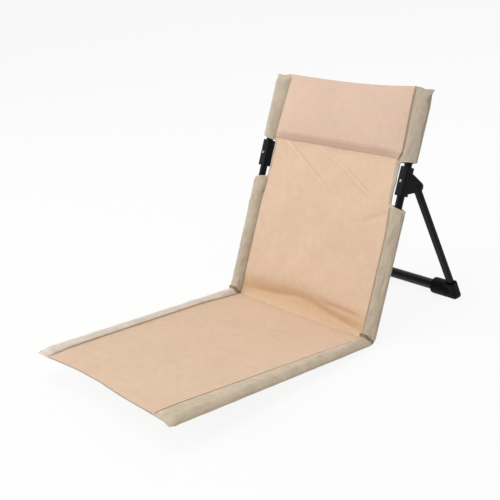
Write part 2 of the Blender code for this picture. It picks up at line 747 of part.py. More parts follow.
def build():
    """Build the chair in its open, photographed position."""
    for item in list(bpy.data.objects):
        bpy.data.objects.remove(item, do_unlink=True)

    steel = finish("black_steel", (0.022, 0.022, 0.024), 0.42, 0.0)
    plastic = finish("black_plastic", (0.016, 0.016, 0.018), 0.5)
    bright = finish("bright_steel", (0.72, 0.72, 0.74), 0.28, 1.0)
    peach = finish("peach_canvas", (0.74, 0.54, 0.38), 0.9)
    rose = finish("headrest_canvas", (0.72, 0.52, 0.41), 0.9)
    khaki = finish("khaki_canvas", (0.45, 0.37, 0.27), 0.92)

    back = Rail("back_frame_axis", BACK_ANGLE - math.pi / 2, -1)
    seat = Rail("seat_frame_axis", math.pi / 2 - SEAT_ANGLE, 1)
    stand = Stand()

    def start(a, b):
        return mitre(b) + MITRE_GAP

    for label, side in SIDES:
        x = side * POLE_X
        add_pole(f"back_pole_{label}", back, x, BACK_LENGTH, steel, BRACKET_CENTRE)
        add_cap(f"back_pole_cap_{label}", back, x, BACK_LENGTH, plastic)
        add_back_knuckle(f"back_knuckle_{label}", back, x, plastic)
        add_pin(f"hinge_pin_{label}", back.point, back.empty, (HINGE_OFFSET, CORNER_REACH), x,
                HINGE_PIN_DIAMETER / 2, EAR_RADIUS * 0.8, EAR_OUTER, PIN_HEAD, bright)
        add_bracket(f"stand_bracket_{label}", back, x, plastic)
        add_rivet(f"bracket_rivet_{label}", back, x, bright)
        add_pin(f"stand_pivot_pin_{label}", back.point, back.empty, (-LUG_REACH, PIVOT_T), x,
                PIVOT_PIN_DIAMETER / 2, PIVOT_HEAD_RADIUS, FORK_OUTER, PIVOT_HEAD, steel)
        add_open_sleeve(f"lower_back_sleeve_{label}", back, x, start, LOWER_SLEEVE_TOP, khaki)
        add_sleeve(f"upper_back_sleeve_{label}", back, x, UPPER_SLEEVE_BASE, BACK_LENGTH, khaki)
        add_pole(f"seat_pole_{label}", seat, x, SEAT_LENGTH, steel)
        add_cap(f"seat_pole_cap_{label}", seat, x, SEAT_LENGTH, plastic)
        add_seat_knuckle(f"seat_knuckle_{label}", seat, x, plastic)
        add_sleeve(f"seat_sleeve_{label}", seat, x, start, SEAT_LENGTH, khaki, side * TIP_SLANT, True)
        add_strut(f"stand_strut_{label}", stand, x, steel)
        add_foot(f"stand_foot_{label}", stand, side, plastic)

    rows = rows_from_corner(32, 1.7)
    faces = between(back.point, 16, rows, back_surface(1), back_surface(-1))
    add_body("back_panel", [faces], back.empty, peach)
    rows = rows_from_corner(14, 1.0)
    rows.insert(1, rows[1] * 0.4)
    faces = between(back.point, 16, rows, headrest_surface(True), headrest_surface(False))
    add_body("headrest_panel", [faces], back.empty, rose)
    rows = rows_from_corner(24, 1.4)
    faces = between(seat.point, 16, rows, seat_surface(1), seat_surface(-1))
    add_body("seat_panel", [faces], seat.empty, peach)
    add_cross_tube("stand_cross_tube", stand, steel)


build()
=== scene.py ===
"""Looks of a folding beach chair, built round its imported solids.

The canvas, the sleeves and the headrest are numpy surfaces in the frame of the poles: x across, n towards
the sitter and t along a pole from the corner, where the axes of a back pole and a seat pole meet. Steel and
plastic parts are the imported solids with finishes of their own.
"""
from __future__ import annotations

import json
import logging
import math
from dataclasses import dataclass
from enum import Enum

import bmesh
import bpy
import numpy as np
from mathutils import Matrix, Vector

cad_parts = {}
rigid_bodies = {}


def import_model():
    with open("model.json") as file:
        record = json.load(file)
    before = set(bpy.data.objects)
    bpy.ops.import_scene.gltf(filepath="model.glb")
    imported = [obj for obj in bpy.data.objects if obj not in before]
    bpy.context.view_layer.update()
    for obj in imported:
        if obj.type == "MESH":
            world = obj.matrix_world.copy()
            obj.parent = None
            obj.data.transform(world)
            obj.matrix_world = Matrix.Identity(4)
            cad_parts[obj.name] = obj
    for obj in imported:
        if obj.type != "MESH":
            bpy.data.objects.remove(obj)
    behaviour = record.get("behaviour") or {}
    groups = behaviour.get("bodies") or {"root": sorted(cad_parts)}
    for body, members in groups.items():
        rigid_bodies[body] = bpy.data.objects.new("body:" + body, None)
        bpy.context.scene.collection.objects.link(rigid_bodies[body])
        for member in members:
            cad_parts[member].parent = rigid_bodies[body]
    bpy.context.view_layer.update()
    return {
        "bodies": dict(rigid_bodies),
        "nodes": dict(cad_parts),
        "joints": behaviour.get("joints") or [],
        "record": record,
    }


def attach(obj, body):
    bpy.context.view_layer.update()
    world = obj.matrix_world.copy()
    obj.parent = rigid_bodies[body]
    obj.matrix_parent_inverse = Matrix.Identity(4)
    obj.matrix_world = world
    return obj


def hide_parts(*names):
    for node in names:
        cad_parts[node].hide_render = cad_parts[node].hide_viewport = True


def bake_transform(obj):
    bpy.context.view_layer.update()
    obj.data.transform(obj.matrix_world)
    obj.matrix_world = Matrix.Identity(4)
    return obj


LOG = logging.getLogger("beach_chair")
MM = 0.001
WEAVE_MAP = "Weave"
# Height of the headrest's hem band, which also gets painted shade.
HEM_BAND = 14 * MM
# Width of the painted highlight along the sleeves' flange.
FLANGE_EDGE = 3.4 * MM
TIP_MERGE = 0.02 * MM
TUBE_MERGE = 0.001 * MM
THREAD_LIFT = 0.2 * MM
MOUTH_ROWS = 4
TIP_ROWS = 3
FLANGE_COLUMN = 7
ACROSS = (1.0, 0.0, 0.0)
Array = np.ndarray
Path = tuple[Array, Array]
Triple = tuple[float, float, float]
Piece = bpy.types.Object
Material = bpy.types.Material


class Body(str, Enum):
    """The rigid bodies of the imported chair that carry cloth."""

    BACK = "back_frame"
    SEAT = "seat_frame"


class Side(Enum):
    """The two sides of the chair, as seen from the front."""

    LEFT = -1
    RIGHT = 1

    @property
    def label(self) -> str:
        """Return the side's word in the names of nodes and pieces."""
        return self.name.lower()


class Tone(Enum):
    """Factors on the colour of the cloth: painted light and painted shade."""

    # Painted shadow: the dark strip where the sleeve folds at the corner.
    FOLD = (0.5, 0.46, 0.38)
    # Painted light: the seat's sleeves lighter, the left one more so.
    SEAT = (1.16, 1.14, 1.12)
    LEFT_SEAT = (1.2, 1.24, 1.42)
    # Painted shade: the upper right sleeve darker.
    UPPER_RIGHT = (0.87, 0.86, 0.87)
    # Painted shade: the canvas darker and warmer in the corner's pocket.
    POCKET = (0.90, 0.84, 0.72)
    # Painted highlight along the creases, and painted shade beside them.
    WORN = (1.08, 1.08, 1.09)
    BESIDE_WORN = (0.945, 0.935, 0.925)
    # Painted shade: the hem band darker.
    HEM = (0.9, 0.885, 0.9)
    # Painted highlight on the sleeves' flat flange.
    FLANGE = (1.1, 1.1, 1.1)


def ease(value: Array) -> Array:
    """Return a smooth step from 0 to 1: 3v^2 - 2v^3 on the clipped value."""
    value = np.clip(value, 0.0, 1.0)
    return value * value * (3 - 2 * value)


def share(value: Array, start: float, end: float) -> Array:
    """Return how far a value in metres is from start to end in millimetres, between 0 and 1."""
    return np.clip((value / MM - start) / (end - start), 0.0, 1.0)


def ramp(value: Array, start: float, end: float) -> Array:
    """Return a smooth step of a value in metres, from 0 at start to 1 at end in millimetres."""
    return ease(share(value, start, end))


def mix(start: Array, end: Array, part: Array) -> Array:
    """Return the value a part of the way from start to end."""
    return start + (end - start) * part


def bell(value: Array, width: float, power: int = 2) -> Array:
    """Return exp(-(value / width)^power), flat-topped for a high power."""
    return np.exp(-((value / width) ** power))


def soft_max(a: Array, b: Array, blend: Array) -> Array:
    """Return the larger of two values, rounded where they meet: (a + b + sqrt((a - b)^2 + blend^2)) / 2."""
    return (a + b + np.sqrt((a - b) ** 2 + blend**2)) / 2


def ripple(a: Array, b: Array, seed: int, length: float, waves: int = 9) -> Array:
    """Return soft unevenness: a mean of sine waves in random directions, with wavelengths round one length.

    Args:
        a: First coordinate in metres.
        b: Second coordinate in metres.
        seed: Seed of the random directions and phases.
        length: Middle wavelength in metres.
        waves: Number of waves.

    Returns:
        Values from about -1 to 1.
    """
    draw = np.random.default_rng(seed)
    total = np.zeros(np.broadcast(a, b).shape)
    for _ in range(waves):
        turn, phase = draw.uniform(0, 2 * math.pi, 2)
        number = 2 * math.pi / (length * draw.uniform(0.6, 1.6))
        total = total + np.sin(number * (a * math.cos(turn) + b * math.sin(turn)) + phase)
    return total / math.sqrt(waves)


@dataclass(frozen=True)
class Rail:
    """The frame of a pair of poles: the corner point, the way along a pole and the way it faces."""

    corner: Array
    along: Array
    facing: Array

    def place(self, x: Array, n: Array, t: Array) -> Array:
        """Return points in the chair's frame: corner + t * along + n * facing, at x across."""
        x, n, t = (part[..., None] for part in np.broadcast_arrays(x, n, t))
        return x * np.array(ACROSS) + self.corner + t * self.along + n * self.facing


@dataclass(frozen=True)
class ChairFrame:
    """Where the poles lie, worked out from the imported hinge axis."""

    hinge: tuple[float, float]
    back_angle: float = math.radians(64.5)
    seat_angle: float = math.radians(6.0)
    hinge_offset: float = 10.5 * MM
    pole_x: float = 210 * MM
    bend_reach: float = 2 * MM

    @property
    def slope(self) -> float:
        """Return t per n on the plane that halves the corner."""
        return 1 / math.tan((math.pi - self.back_angle - self.seat_angle) / 2)

    @property
    def corner(self) -> Array:
        """Return the corner point, a hinge offset out from the hinge axis along both pole normals."""
        reach = self.hinge_offset * self.slope
        c, s = math.cos(self.back_angle), math.sin(self.back_angle)
        y = self.hinge[0] + s * self.hinge_offset - c * reach
        z = self.hinge[1] - c * self.hinge_offset - s * reach
        return np.array((0.0, y, z))

    @property
    def back(self) -> Rail:
        """Return the frame of the back poles."""
        c, s = math.cos(self.back_angle), math.sin(self.back_angle)
        return Rail(self.corner, np.array((0.0, c, s)), np.array((0.0, -s, c)))

    @property
    def seat(self) -> Rail:
        """Return the frame of the seat poles."""
        c, s = math.cos(self.seat_angle), math.sin(self.seat_angle)
        return Rail(self.corner, np.array((0.0, -c, s)), np.array((0.0, s, c)))

    def mitre(self, n: Array) -> Array:
        """Return t on the plane that halves the corner: n times the slope."""
        return n * self.slope

    def bend(self, piece: Piece) -> None:
        """Bake a piece's placement into its mesh; the corner's two ends are worked out but not used."""
        start = self.back.place(0.0, 0.0, self.bend_reach)
        end = self.seat.place(0.0, 0.0, self.bend_reach)
        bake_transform(piece)


def arc_lengths(points: Array, axis: int) -> Array:
    """Return the running length along one axis of a grid of points."""
    steps = np.linalg.norm(np.diff(points, axis=axis), axis=-1)
    start = np.zeros_like(np.take(steps, [0], axis=axis))
    return np.concatenate((start, np.cumsum(steps, axis=axis)), axis=axis)


def sample(line: Array, run: Array, at: Array) -> Array:
    """Return what a line of vectors holds at some running lengths."""
    return np.stack([np.interp(at, run, column) for column in line.T], axis=-1)


def unit(vectors: Array) -> Array:
    """Return vectors, one a row, with a length of 1."""
    return vectors / np.maximum(np.linalg.norm(vectors, axis=1, keepdims=True), 1e-12)


def turns(count: int) -> Array:
    """Return the angles of even steps round a circle."""
    return np.linspace(0, 2 * math.pi, count, endpoint=False)


def tube(line: Array, radius: float, first: Array, second: Array, around: int) -> Array:
    """Return rings of points round a line, in the plane of two directions."""
    turn = turns(around)[:, None]
    return line[:, None] + radius * (np.cos(turn) * first + np.sin(turn) * second)


def capped(rings: Array) -> Array:
    """Return rings with both ends drawn together to a point."""
    first, last = (np.broadcast_to(row.mean(0), row.shape)[None] for row in (rings[0], rings[-1]))
    return np.concatenate((first, rings, last))


def closed(grid: Array) -> Array:
    """Return a grid with its first column again at its end."""
    return np.concatenate((grid, grid[:, :1]), axis=1)


def cells(grid: Array) -> Array:
    """Return what a grid holds at the four corners of each of its cells."""
    corners = (np.s_[:-1, :-1], np.s_[:-1, 1:], np.s_[1:, 1:], np.s_[1:, :-1])
    return np.stack([grid[corner] for corner in corners], axis=2)


def add_object(name: str, data: bpy.types.ID) -> Piece:
    """Return a new object in the scene."""
    item = bpy.data.objects.new(name, data)
    bpy.context.scene.collection.objects.link(item)
    return item


def close_mesh(mesh: bpy.types.Mesh, merge: float = 0.0) -> None:
    """Merge points within a distance, if one is given, and turn all faces outwards."""
    work = bmesh.new()
    work.from_mesh(mesh)
    if merge:
        bmesh.ops.remove_doubles(work, verts=work.verts, dist=merge)
    bmesh.ops.recalc_face_normals(work, faces=work.faces)
    work.to_mesh(mesh)
    work.free()


def grid_piece(name: str, points: Array, wrap: bool = False, merge: float = 0.0) -> Piece:
    """Make a mesh of quads on a grid of points, with a map in metres along its rows and columns.

    Args:
        name: The piece's name.
        points: Array of rows, columns and x, y, z.
        wrap: True where the last column joins the first.
        merge: Distance within which points are merged, to close tips and caps.

    Returns:
        The new object, at the origin.
    """
    spots = points.reshape(-1, 3)
    index = np.arange(len(spots)).reshape(points.shape[:2])
    if wrap:
        index = closed(index)
    across = arc_lengths(spots[index], 1)
    along = arc_lengths(spots[index], 0).mean(1, keepdims=True)
    flat = np.stack((across, np.broadcast_to(along, across.shape)), axis=-1)
    mesh = bpy.data.meshes.new(name)
    mesh.from_pydata(spots.tolist(), [], cells(index).reshape(-1, 4).tolist())
    weave = mesh.uv_layers.new(name=WEAVE_MAP)
    weave.data.foreach_set("uv", cells(flat).reshape(-1).astype(np.float32))
    if merge:
        close_mesh(mesh, merge)
    mesh.shade_smooth()
    return add_object(name, mesh)


def thicken(piece: Piece, thickness: float) -> None:
    """Give a sheet its thickness and apply it to the mesh."""
    shell = piece.modifiers.new("cloth", "SOLIDIFY")
    shell.thickness = thickness
    shell.offset = 0.0
    shell.use_even_offset = False
    graph = bpy.context.evaluated_depsgraph_get()
    made = bpy.data.meshes.new_from_object(piece.evaluated_get(graph))
    piece.modifiers.clear()
    piece.data = made


def dress(piece: Piece, material: Material, body: Body | None = None) -> Piece:
    """Give a new piece its material and, where one is given, the body it rides on."""
    piece.data.materials.clear()
    piece.data.materials.append(material)
    if body:
        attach(piece, body.value)
    LOG.info("piece %s: %d faces", piece.name, len(piece.data.polygons))
    return piece


def tint(colour: Triple, factor: float = 1.0) -> tuple[float, float, float, float]:
    """Return a colour with its level changed, with full alpha."""
    return (colour[0] * factor, colour[1] * factor, colour[2] * factor, 1.0)


class Value:
    """A shader value; arithmetic on it adds Math nodes."""

    def __init__(self, nodes: Nodes, socket: bpy.types.NodeSocket) -> None:
        self.nodes = nodes
        self.socket = socket

    def math(self, operation: str, *values: Value | float) -> Value:
        """Return a Math node's result on the values."""
        return self.nodes.add("Math", dict(enumerate(values)), operation=operation)

    def __add__(self, other: Value | float) -> Value:
        """Return self + other."""
        return self.math("ADD", self, other)

    def __radd__(self, other: float) -> Value:
        """Return other + self."""
        return self.math("ADD", other, self)

    def __sub__(self, other: Value | float) -> Value:
        """Return self - other."""
        return self.math("SUBTRACT", self, other)

    def __rsub__(self, other: float) -> Value:
        """Return other - self."""
        return self.math("SUBTRACT", other, self)

    def __mul__(self, other: Value | float) -> Value:
        """Return self * other."""
        return self.math("MULTIPLY", self, other)

    def __rmul__(self, other: float) -> Value:
        """Return other * self."""
        return self.math("MULTIPLY", other, self)

    def sine(self) -> Value:
        """Return the sine of the value."""
        return self.math("SINE", self)

    def size(self) -> Value:
        """Return the value without its sign."""
        return self.math("ABSOLUTE", self)

    def largest(self, other: Value | float) -> Value:
        """Return the larger of two values."""
        return self.math("MAXIMUM", self, other)

    def clip(self) -> Value:
        """Return the value held between 0 and 1."""
        return self.math("MINIMUM", self, 1.0).largest(0.0)


class Nodes:
    """A node tree under construction."""

    def __init__(self, tree: bpy.types.NodeTree) -> None:
        self.tree = tree

    def add(self, kind: str, inputs: dict | None = None, out: int | str = 0, **settings: str | bool) -> Value:
        """Add a node.

        Args:
            kind: The node's type, without its prefix.
            inputs: Values or links of its sockets, by name or number.
            out: The output to return.
            settings: Properties of the node, set first.

        Returns:
            The chosen output as a value.
        """
        node = self.tree.nodes.new(f"ShaderNode{kind}")
        for key, setting in settings.items():
            setattr(node, key, setting)
        for key, value in (inputs or {}).items():
            self.feed(node.inputs[key], value)
        return Value(self, node.outputs[out])

    def feed(self, socket: bpy.types.NodeSocket, value: Value | float | tuple) -> None:
        """Link a value to a socket, or set the socket's own number."""
        if isinstance(value, Value):
            self.tree.links.new(value.socket, socket)
        else:
            socket.default_value = value

    def ray(self, kind: str) -> Value:
        """Return 1 for light rays of one kind."""
        return self.add("LightPath", out=f"Is {kind} Ray")


class Shader(Nodes):
    """A material under construction round its Principled shader."""

    def __init__(self, name: str) -> None:
        self.material = bpy.data.materials.new(name)
        self.material.use_nodes = True
        super().__init__(self.material.node_tree)
        self.surface = self.tree.nodes["Principled BSDF"]

    def set(self, **inputs: Value | float | tuple) -> None:
        """Feed sockets of the Principled shader; underscores stand for spaces."""
        for key, value in inputs.items():
            self.feed(self.surface.inputs[key.replace("_", " ")], value)

    def place(self) -> Value:
        """Return Object coordinates."""
        return self.add("TexCoord", out="Object")

    def weave_map(self) -> tuple[Value, Value, Value]:
        """Return the cloth's own map as a vector and as its two parts, in metres."""
        flat = self.add("UVMap", uv_map=WEAVE_MAP)
        u, v = (self.add("SeparateXYZ", {0: flat}, part) for part in (0, 1))
        return flat, u, v

    def dot(self, vector: Value, axis: Triple) -> Value:
        """Return how far a vector reaches along an axis."""
        return self.add("VectorMath", {0: vector, 1: axis}, "Value", operation="DOT_PRODUCT")

    def run(self, place: Value, rail: Rail) -> Value:
        """Return how far a place lies along a rail from its corner."""
        return self.dot(place, tuple(rail.along)) - float(rail.corner @ rail.along)

    def noise(self, vector: Value, scale: float = 1.0, detail: float = 3.0, rough: float = 0.55) -> Value:
        """Return noise from 0 to 1."""
        inputs = {"Vector": vector, "Scale": scale, "Detail": detail, "Roughness": rough}
        return self.add("TexNoise", inputs)

    def stretch(self, vector: Value, scale: Triple) -> Value:
        """Return a vector scaled by axis."""
        return self.add("Mapping", {"Vector": vector, "Scale": scale})

    def spread(self, value: Value, low: float, high: float) -> Value:
        """Return a value whose span from low to high is stretched to 0 to 1."""
        return self.add("MapRange", {"Value": value, "From Min": low, "From Max": high}, clamp=True)

    def near(self, value: Value, low: float, high: float) -> Value:
        """Return 1 where a value lies within low of nought, and less up to high."""
        return 1 - self.spread(value.size(), low, high)

    def blend(self, part: Value, first: Value | tuple, second: tuple, mode: str = "MIX") -> Value:
        """Return a colour between two."""
        inputs = {0: part, 6: first, 7: second}
        return self.add("Mix", inputs, 2, data_type="RGBA", blend_type=mode)

    def tone(self, part: Value, colour: Value, tone: Tone) -> Value:
        """Return a colour multiplied by a tone, by a part."""
        return self.blend(part, colour, tint(tone.value), "MULTIPLY")

    def shade(self, part: Value, colour: Triple, low: float, high: float) -> Value:
        """Return a colour at a level between low and high."""
        return self.blend(part, tint(colour, low), tint(colour, high))

    def bump(self, height: Value, distance: float, strength: float) -> Value:
        """Return a normal from a height."""
        return self.add("Bump", {"Height": height, "Distance": distance, "Strength": strength})


@dataclass(frozen=True)
class Crease:
    """A straight crease in the canvas, in millimetres.

    It has its ends as (x, t), its half width, its depth and the share of its length over which it fades.
    """

    start: tuple[float, float]
    end: tuple[float, float]
    width: float
    depth: float
    fade: float = 0.3

    @property
    def length(self) -> float:
        """Return the length of the crease in metres."""
        return math.dist(self.start, self.end) * MM

    def lines(self, x: Array | Value, t: Array | Value) -> tuple[Array | Value, Array | Value]:
        """Return the distances from its start along it and across it, for arrays or shader values."""
        run = (self.end[0] - self.start[0]) * MM / self.length
        rise = (self.end[1] - self.start[1]) * MM / self.length
        x = x - self.start[0] * MM
        t = t - self.start[1] * MM
        return x * run + t * rise, x * rise - t * run

    def dent(self, x: Array, t: Array) -> Array:
        """Return how far the crease lies behind the cloth: a bell across it that fades at both ends."""
        along, across = self.lines(x, t)
        fade = self.fade * self.length
        inside = ease(along / fade) * ease((self.length - along) / fade)
        return self.depth * MM * inside * bell(across, self.width * MM)


PRESSED = (
    Crease((-172, 379), (16, 270), 4.2, -3.0),
    Crease((-60, 372), (52, 328), 4.5, -1.6),
    Crease((36, 335), (132, 283), 4.2, -2.8),
)


@dataclass(frozen=True)
class Finish:
    """A look with a name and a colour, which paints a material of its own."""

    name: str
    colour: Triple

    def paint(self, shader: Shader) -> None:
        """Feed the material's shader."""
        raise NotImplementedError

    def material(self) -> Material:
        """Return the painted material."""
        shader = Shader(self.name)
        self.paint(shader)
        return shader.material


@dataclass(frozen=True)
class CanvasFinish(Finish):
    """Woven canvas: plain weave, slubs along both threads and soft mottling, with optional painted light and
    shade.
    """

    pitch: float = 1.1 * MM
    mottle: float = 0.04
    heather: float = 0.06
    bump: float = 0.35
    speckle: float = 0.0
    # Height of the hem band that gets painted shade.
    hem: float = 0.0
    # Width of the painted highlight along the flange.
    flange: float = 0.0
    # Frame of the painted shade in the pocket and the painted light and shade along the creases.
    pressed: Rail | None = None
    # Frame of the painted light on the seat and the painted shade at the upper right and in the corner's
    # fold.
    light_and_shade_frame: ChairFrame | None = None
    thread: float = 1400.0
    slub: float = 60.0
    deepest: float = 3.0

    THREAD_GAIN = 8
    CLOUD_GAIN = 14
    PATCH_GAIN = 8

    def paint_light_and_shade(self, shader: Shader, colour: Value) -> Value:
        """Return the colour with painted light along the seat, most on its left, and painted shade on the
        upper right.

        The step at the corner lies on the plane that halves it, with a painted shadow line where the cloth
        folds.
        """
        place = shader.place()
        right = shader.spread(shader.dot(place, ACROSS), -20 * MM, 20 * MM)
        back = shader.run(place, self.light_and_shade_frame.back)
        past = shader.run(place, self.light_and_shade_frame.seat) - back
        seat = shader.spread(past, 0.0, 12 * MM)
        upper = shader.spread(back, 340 * MM, 365 * MM)
        # Painted shadow: a dark strip just past the corner's mitre, on the seat side of the fold.
        colour = shader.tone(shader.near(past - 4 * MM, 2 * MM, 8 * MM), colour, Tone.FOLD)
        # Painted light: the khaki lighter along the seat.
        colour = shader.tone(seat, colour, Tone.SEAT)
        # Painted shade: the khaki darker on the upper right.
        colour = shader.tone(upper * right, colour, Tone.UPPER_RIGHT)
        # Painted light: the left seat sleeve lighter still.
        return shader.tone(seat * (1 - right), colour, Tone.LEFT_SEAT)

    def folded(self, shader: Shader, colour: Value) -> Value:
        """Return the colour with painted shade in the corner's pocket and painted light and shade along the
        creases.
        """
        place = shader.place()
        x = shader.dot(place, ACROSS)
        t = shader.run(place, self.pressed)
        # Painted shade along the pocket's valley.
        colour = shader.tone(shader.near(t - 22 * MM, 4 * MM, 34 * MM), colour, Tone.POCKET)
        for crease in PRESSED:
            run, across = crease.lines(x, t)
            inside = shader.spread(run, 0.0, 0.16 * crease.length)
            inside = inside * (1 - shader.spread(run, 0.84 * crease.length, crease.length))
            strength = inside * (-crease.depth / self.deepest)
            # Painted highlight along each crease, and painted shade beside it on one side.
            crease_highlight = shader.near(across, 0.8 * MM, 3.6 * MM)
            beside = shader.near(across + 5 * MM, 1.0 * MM, 4.5 * MM)
            colour = shader.tone(crease_highlight * strength, colour, Tone.WORN)
            colour = shader.tone(beside * strength, colour, Tone.BESIDE_WORN)
        return colour

    def paint(self, shader: Shader) -> None:
        """Feed the shader with the weave, on the cloth's own map, and with the changes of colour, painted
        light and shade among them.
        """
        place = shader.place()
        flat, u, v = shader.weave_map()
        number = 2 * math.pi / self.pitch
        weave = (u * number).sine() * (v * number).sine()
        warp = shader.noise(shader.stretch(flat, (self.thread, self.slub, 1.0)), detail=2.0)
        weft = shader.noise(shader.stretch(flat, (self.slub, self.thread, 1.0)), detail=2.0)
        threads = shader.spread(warp + weft, 0.7, 1.3)
        cloud = shader.noise(place, scale=55.0, detail=5.0, rough=0.6)
        patch = shader.noise(place, scale=9.0, detail=2.0)
        level = 0.5 + (threads - 0.5) * (self.heather * self.THREAD_GAIN)
        level = level + (cloud - 0.5) * (self.mottle * self.CLOUD_GAIN)
        level = level + (patch - 0.5) * (self.mottle * self.PATCH_GAIN)
        if self.speckle:
            level = level + (shader.noise(place, scale=330.0, detail=2.0) - 0.5) * self.speckle
        colour = shader.shade((level + weave * 0.06).clip(), self.colour, low=0.88, high=1.12)
        # Painted shade: the hem band darker where the cloth lies doubled.
        if self.hem:
            hem_shade = 1 - shader.spread(v, self.hem - 1 * MM, self.hem + 0.5 * MM)
            colour = shader.tone(hem_shade, colour, Tone.HEM)
        # Painted highlight: a lighter band along the sleeves' flat flange.
        if self.flange:
            edge = 1 - shader.spread(u, self.flange - 1 * MM, self.flange + 1 * MM)
            colour = shader.tone(edge, colour, Tone.FLANGE)
        # Painted light along the seat and painted shade at the upper right and in the corner's fold.
        if self.light_and_shade_frame:
            colour = self.paint_light_and_shade(shader, colour)
        # Painted shade in the pocket and painted light and shade along the creases.
        if self.pressed:
            colour = self.folded(shader, colour)
        shader.set(
            Base_Color=colour,
            Roughness=0.86 + 0.1 * threads,
            Normal=shader.bump(weave * 0.5 + threads * 0.9, distance=0.3 * MM, strength=self.bump),
            Specular_IOR_Level=0.25,
            Sheen_Weight=0.12,
            Sheen_Roughness=0.5,
        )


@dataclass(frozen=True)
class CoatedSteelFinish(Finish):
    """Black powder coat with a fine orange peel and a little dust."""

    colour: Triple = (0.0035, 0.0035, 0.0042)
    roughness: float = 0.38
    gloss: float = 0.1

    def paint(self, shader: Shader) -> None:
        """Feed the shader with the peel and the dust."""
        place = shader.place()
        peel = shader.noise(place, scale=1100.0, detail=2.0)
        dust = shader.spread(shader.noise(place, scale=90.0, detail=6.0, rough=0.7), 0.5, 0.85)
        shader.set(
            Base_Color=shader.shade(dust * 0.35, self.colour, low=1.0, high=3.2),
            Roughness=self.roughness + 0.16 * dust,
            Normal=shader.bump(peel, distance=0.15 * MM, strength=0.25),
            Specular_IOR_Level=self.gloss,
        )


@dataclass(frozen=True)
class MouldedPlasticFinish(Finish):
    """Moulded black plastic with a spark-eroded grain."""

    colour: Triple = (0.0045, 0.0045, 0.006)
    roughness: float = 0.5

    def paint(self, shader: Shader) -> None:
        """Feed the shader with the grain and the scuffs."""
        place = shader.place()
        grain = shader.noise(place, scale=1600.0, rough=0.7)
        marks = shader.noise(shader.stretch(place, (300.0, 300.0, 80.0)), detail=5.0, rough=0.75)
        scuff = shader.spread(marks, 0.58, 0.9)
        shader.set(
            Base_Color=shader.shade(scuff * 0.5, self.colour, low=1.0, high=3.0),
            Roughness=self.roughness + 0.12 * (grain - 0.5) + 0.1 * scuff,
            Normal=shader.bump(grain, distance=0.12 * MM, strength=0.35),
            Specular_IOR_Level=0.08,
        )


@dataclass(frozen=True)
class BrightSteelFinish(Finish):
    """Bright plated steel with fine turning marks."""

    colour: Triple = (0.74, 0.74, 0.76)

    def paint(self, shader: Shader) -> None:
        """Feed the shader with the turning marks."""
        marks = shader.noise(shader.stretch(shader.place(), (4000.0, 500.0, 500.0)))
        shader.set(
            Base_Color=shader.shade(marks, self.colour, low=0.9, high=1.05),
            Metallic=1.0,
            Roughness=0.22 + 0.16 * marks,
        )


@dataclass(frozen=True)
class ThreadFinish(Finish):
    """Twisted sewing thread."""

    def paint(self, shader: Shader) -> None:
        """Feed the shader with the twist."""
        twist = shader.noise(shader.place(), scale=2500.0, detail=2.0)
        shader.set(
            Base_Color=shader.shade(twist, self.colour, low=0.8, high=1.15),
            Roughness=0.7 + 0.15 * twist,
            Normal=shader.bump(twist, distance=0.1 * MM, strength=0.4),
        )


class Finishes:
    """Every material of the chair, made once."""

    def __init__(self, chair: ChairFrame) -> None:
        khaki_pitch = 1.3 * MM
        # Painted shade in the corner's pocket and painted light and shade along the creases.
        self.peach = CanvasFinish(
            "peach_canvas_cloth", (0.735, 0.535, 0.385), mottle=0.055, pressed=chair.back
        ).material()
        # Painted shade on the headrest's hem band.
        self.rose = CanvasFinish(
            "headrest_canvas_cloth", (0.70, 0.505, 0.395), mottle=0.05, hem=HEM_BAND
        ).material()
        # Painted light along the seat, painted shade at the upper right and in the corner's fold, and a
        # painted highlight on the flange.
        self.khaki = CanvasFinish(
            "khaki_canvas_cloth", (0.53, 0.45, 0.345), khaki_pitch, mottle=0.15, heather=0.12, bump=0.5,
            speckle=0.8, flange=FLANGE_EDGE, light_and_shade_frame=chair,
        ).material()
        self.rolled = CanvasFinish("front_edge_cloth", (0.42, 0.36, 0.29), khaki_pitch).material()
        self.cream = CanvasFinish("khaki_hem_cloth", (0.66, 0.57, 0.45), khaki_pitch).material()
        self.steel = CoatedSteelFinish("black_steel_coat").material()
        self.tube = CoatedSteelFinish("black_steel_tube", roughness=0.32, gloss=0.25).material()
        self.plastic = MouldedPlasticFinish("black_plastic_moulded").material()
        self.bright = BrightSteelFinish("bright_steel_plated").material()
        self.peach_thread = ThreadFinish("peach_thread", (0.66, 0.47, 0.33)).material()
        # Khaki thread for the seams' stitches, dark enough that the outer edge's row also paints that edge's
        # shadow.
        self.khaki_thread = ThreadFinish("khaki_thread", (0.22, 0.175, 0.125)).material()
        self.tan_thread = ThreadFinish("tan_thread", (0.42, 0.25, 0.12)).material()
        # Dark thread for lines of painted shadow: in the inner seams, in the corner's fold and along the cut
        # edges.
        self.painted_shadow_thread = ThreadFinish("painted_shadow_thread", (0.13, 0.095, 0.065)).material()
        self.rivet = BrightSteelFinish("rivet_steel_dull", (0.06, 0.06, 0.065)).material()
        self.rim = BrightSteelFinish("rivet_rim_steel", (0.46, 0.46, 0.47)).material()


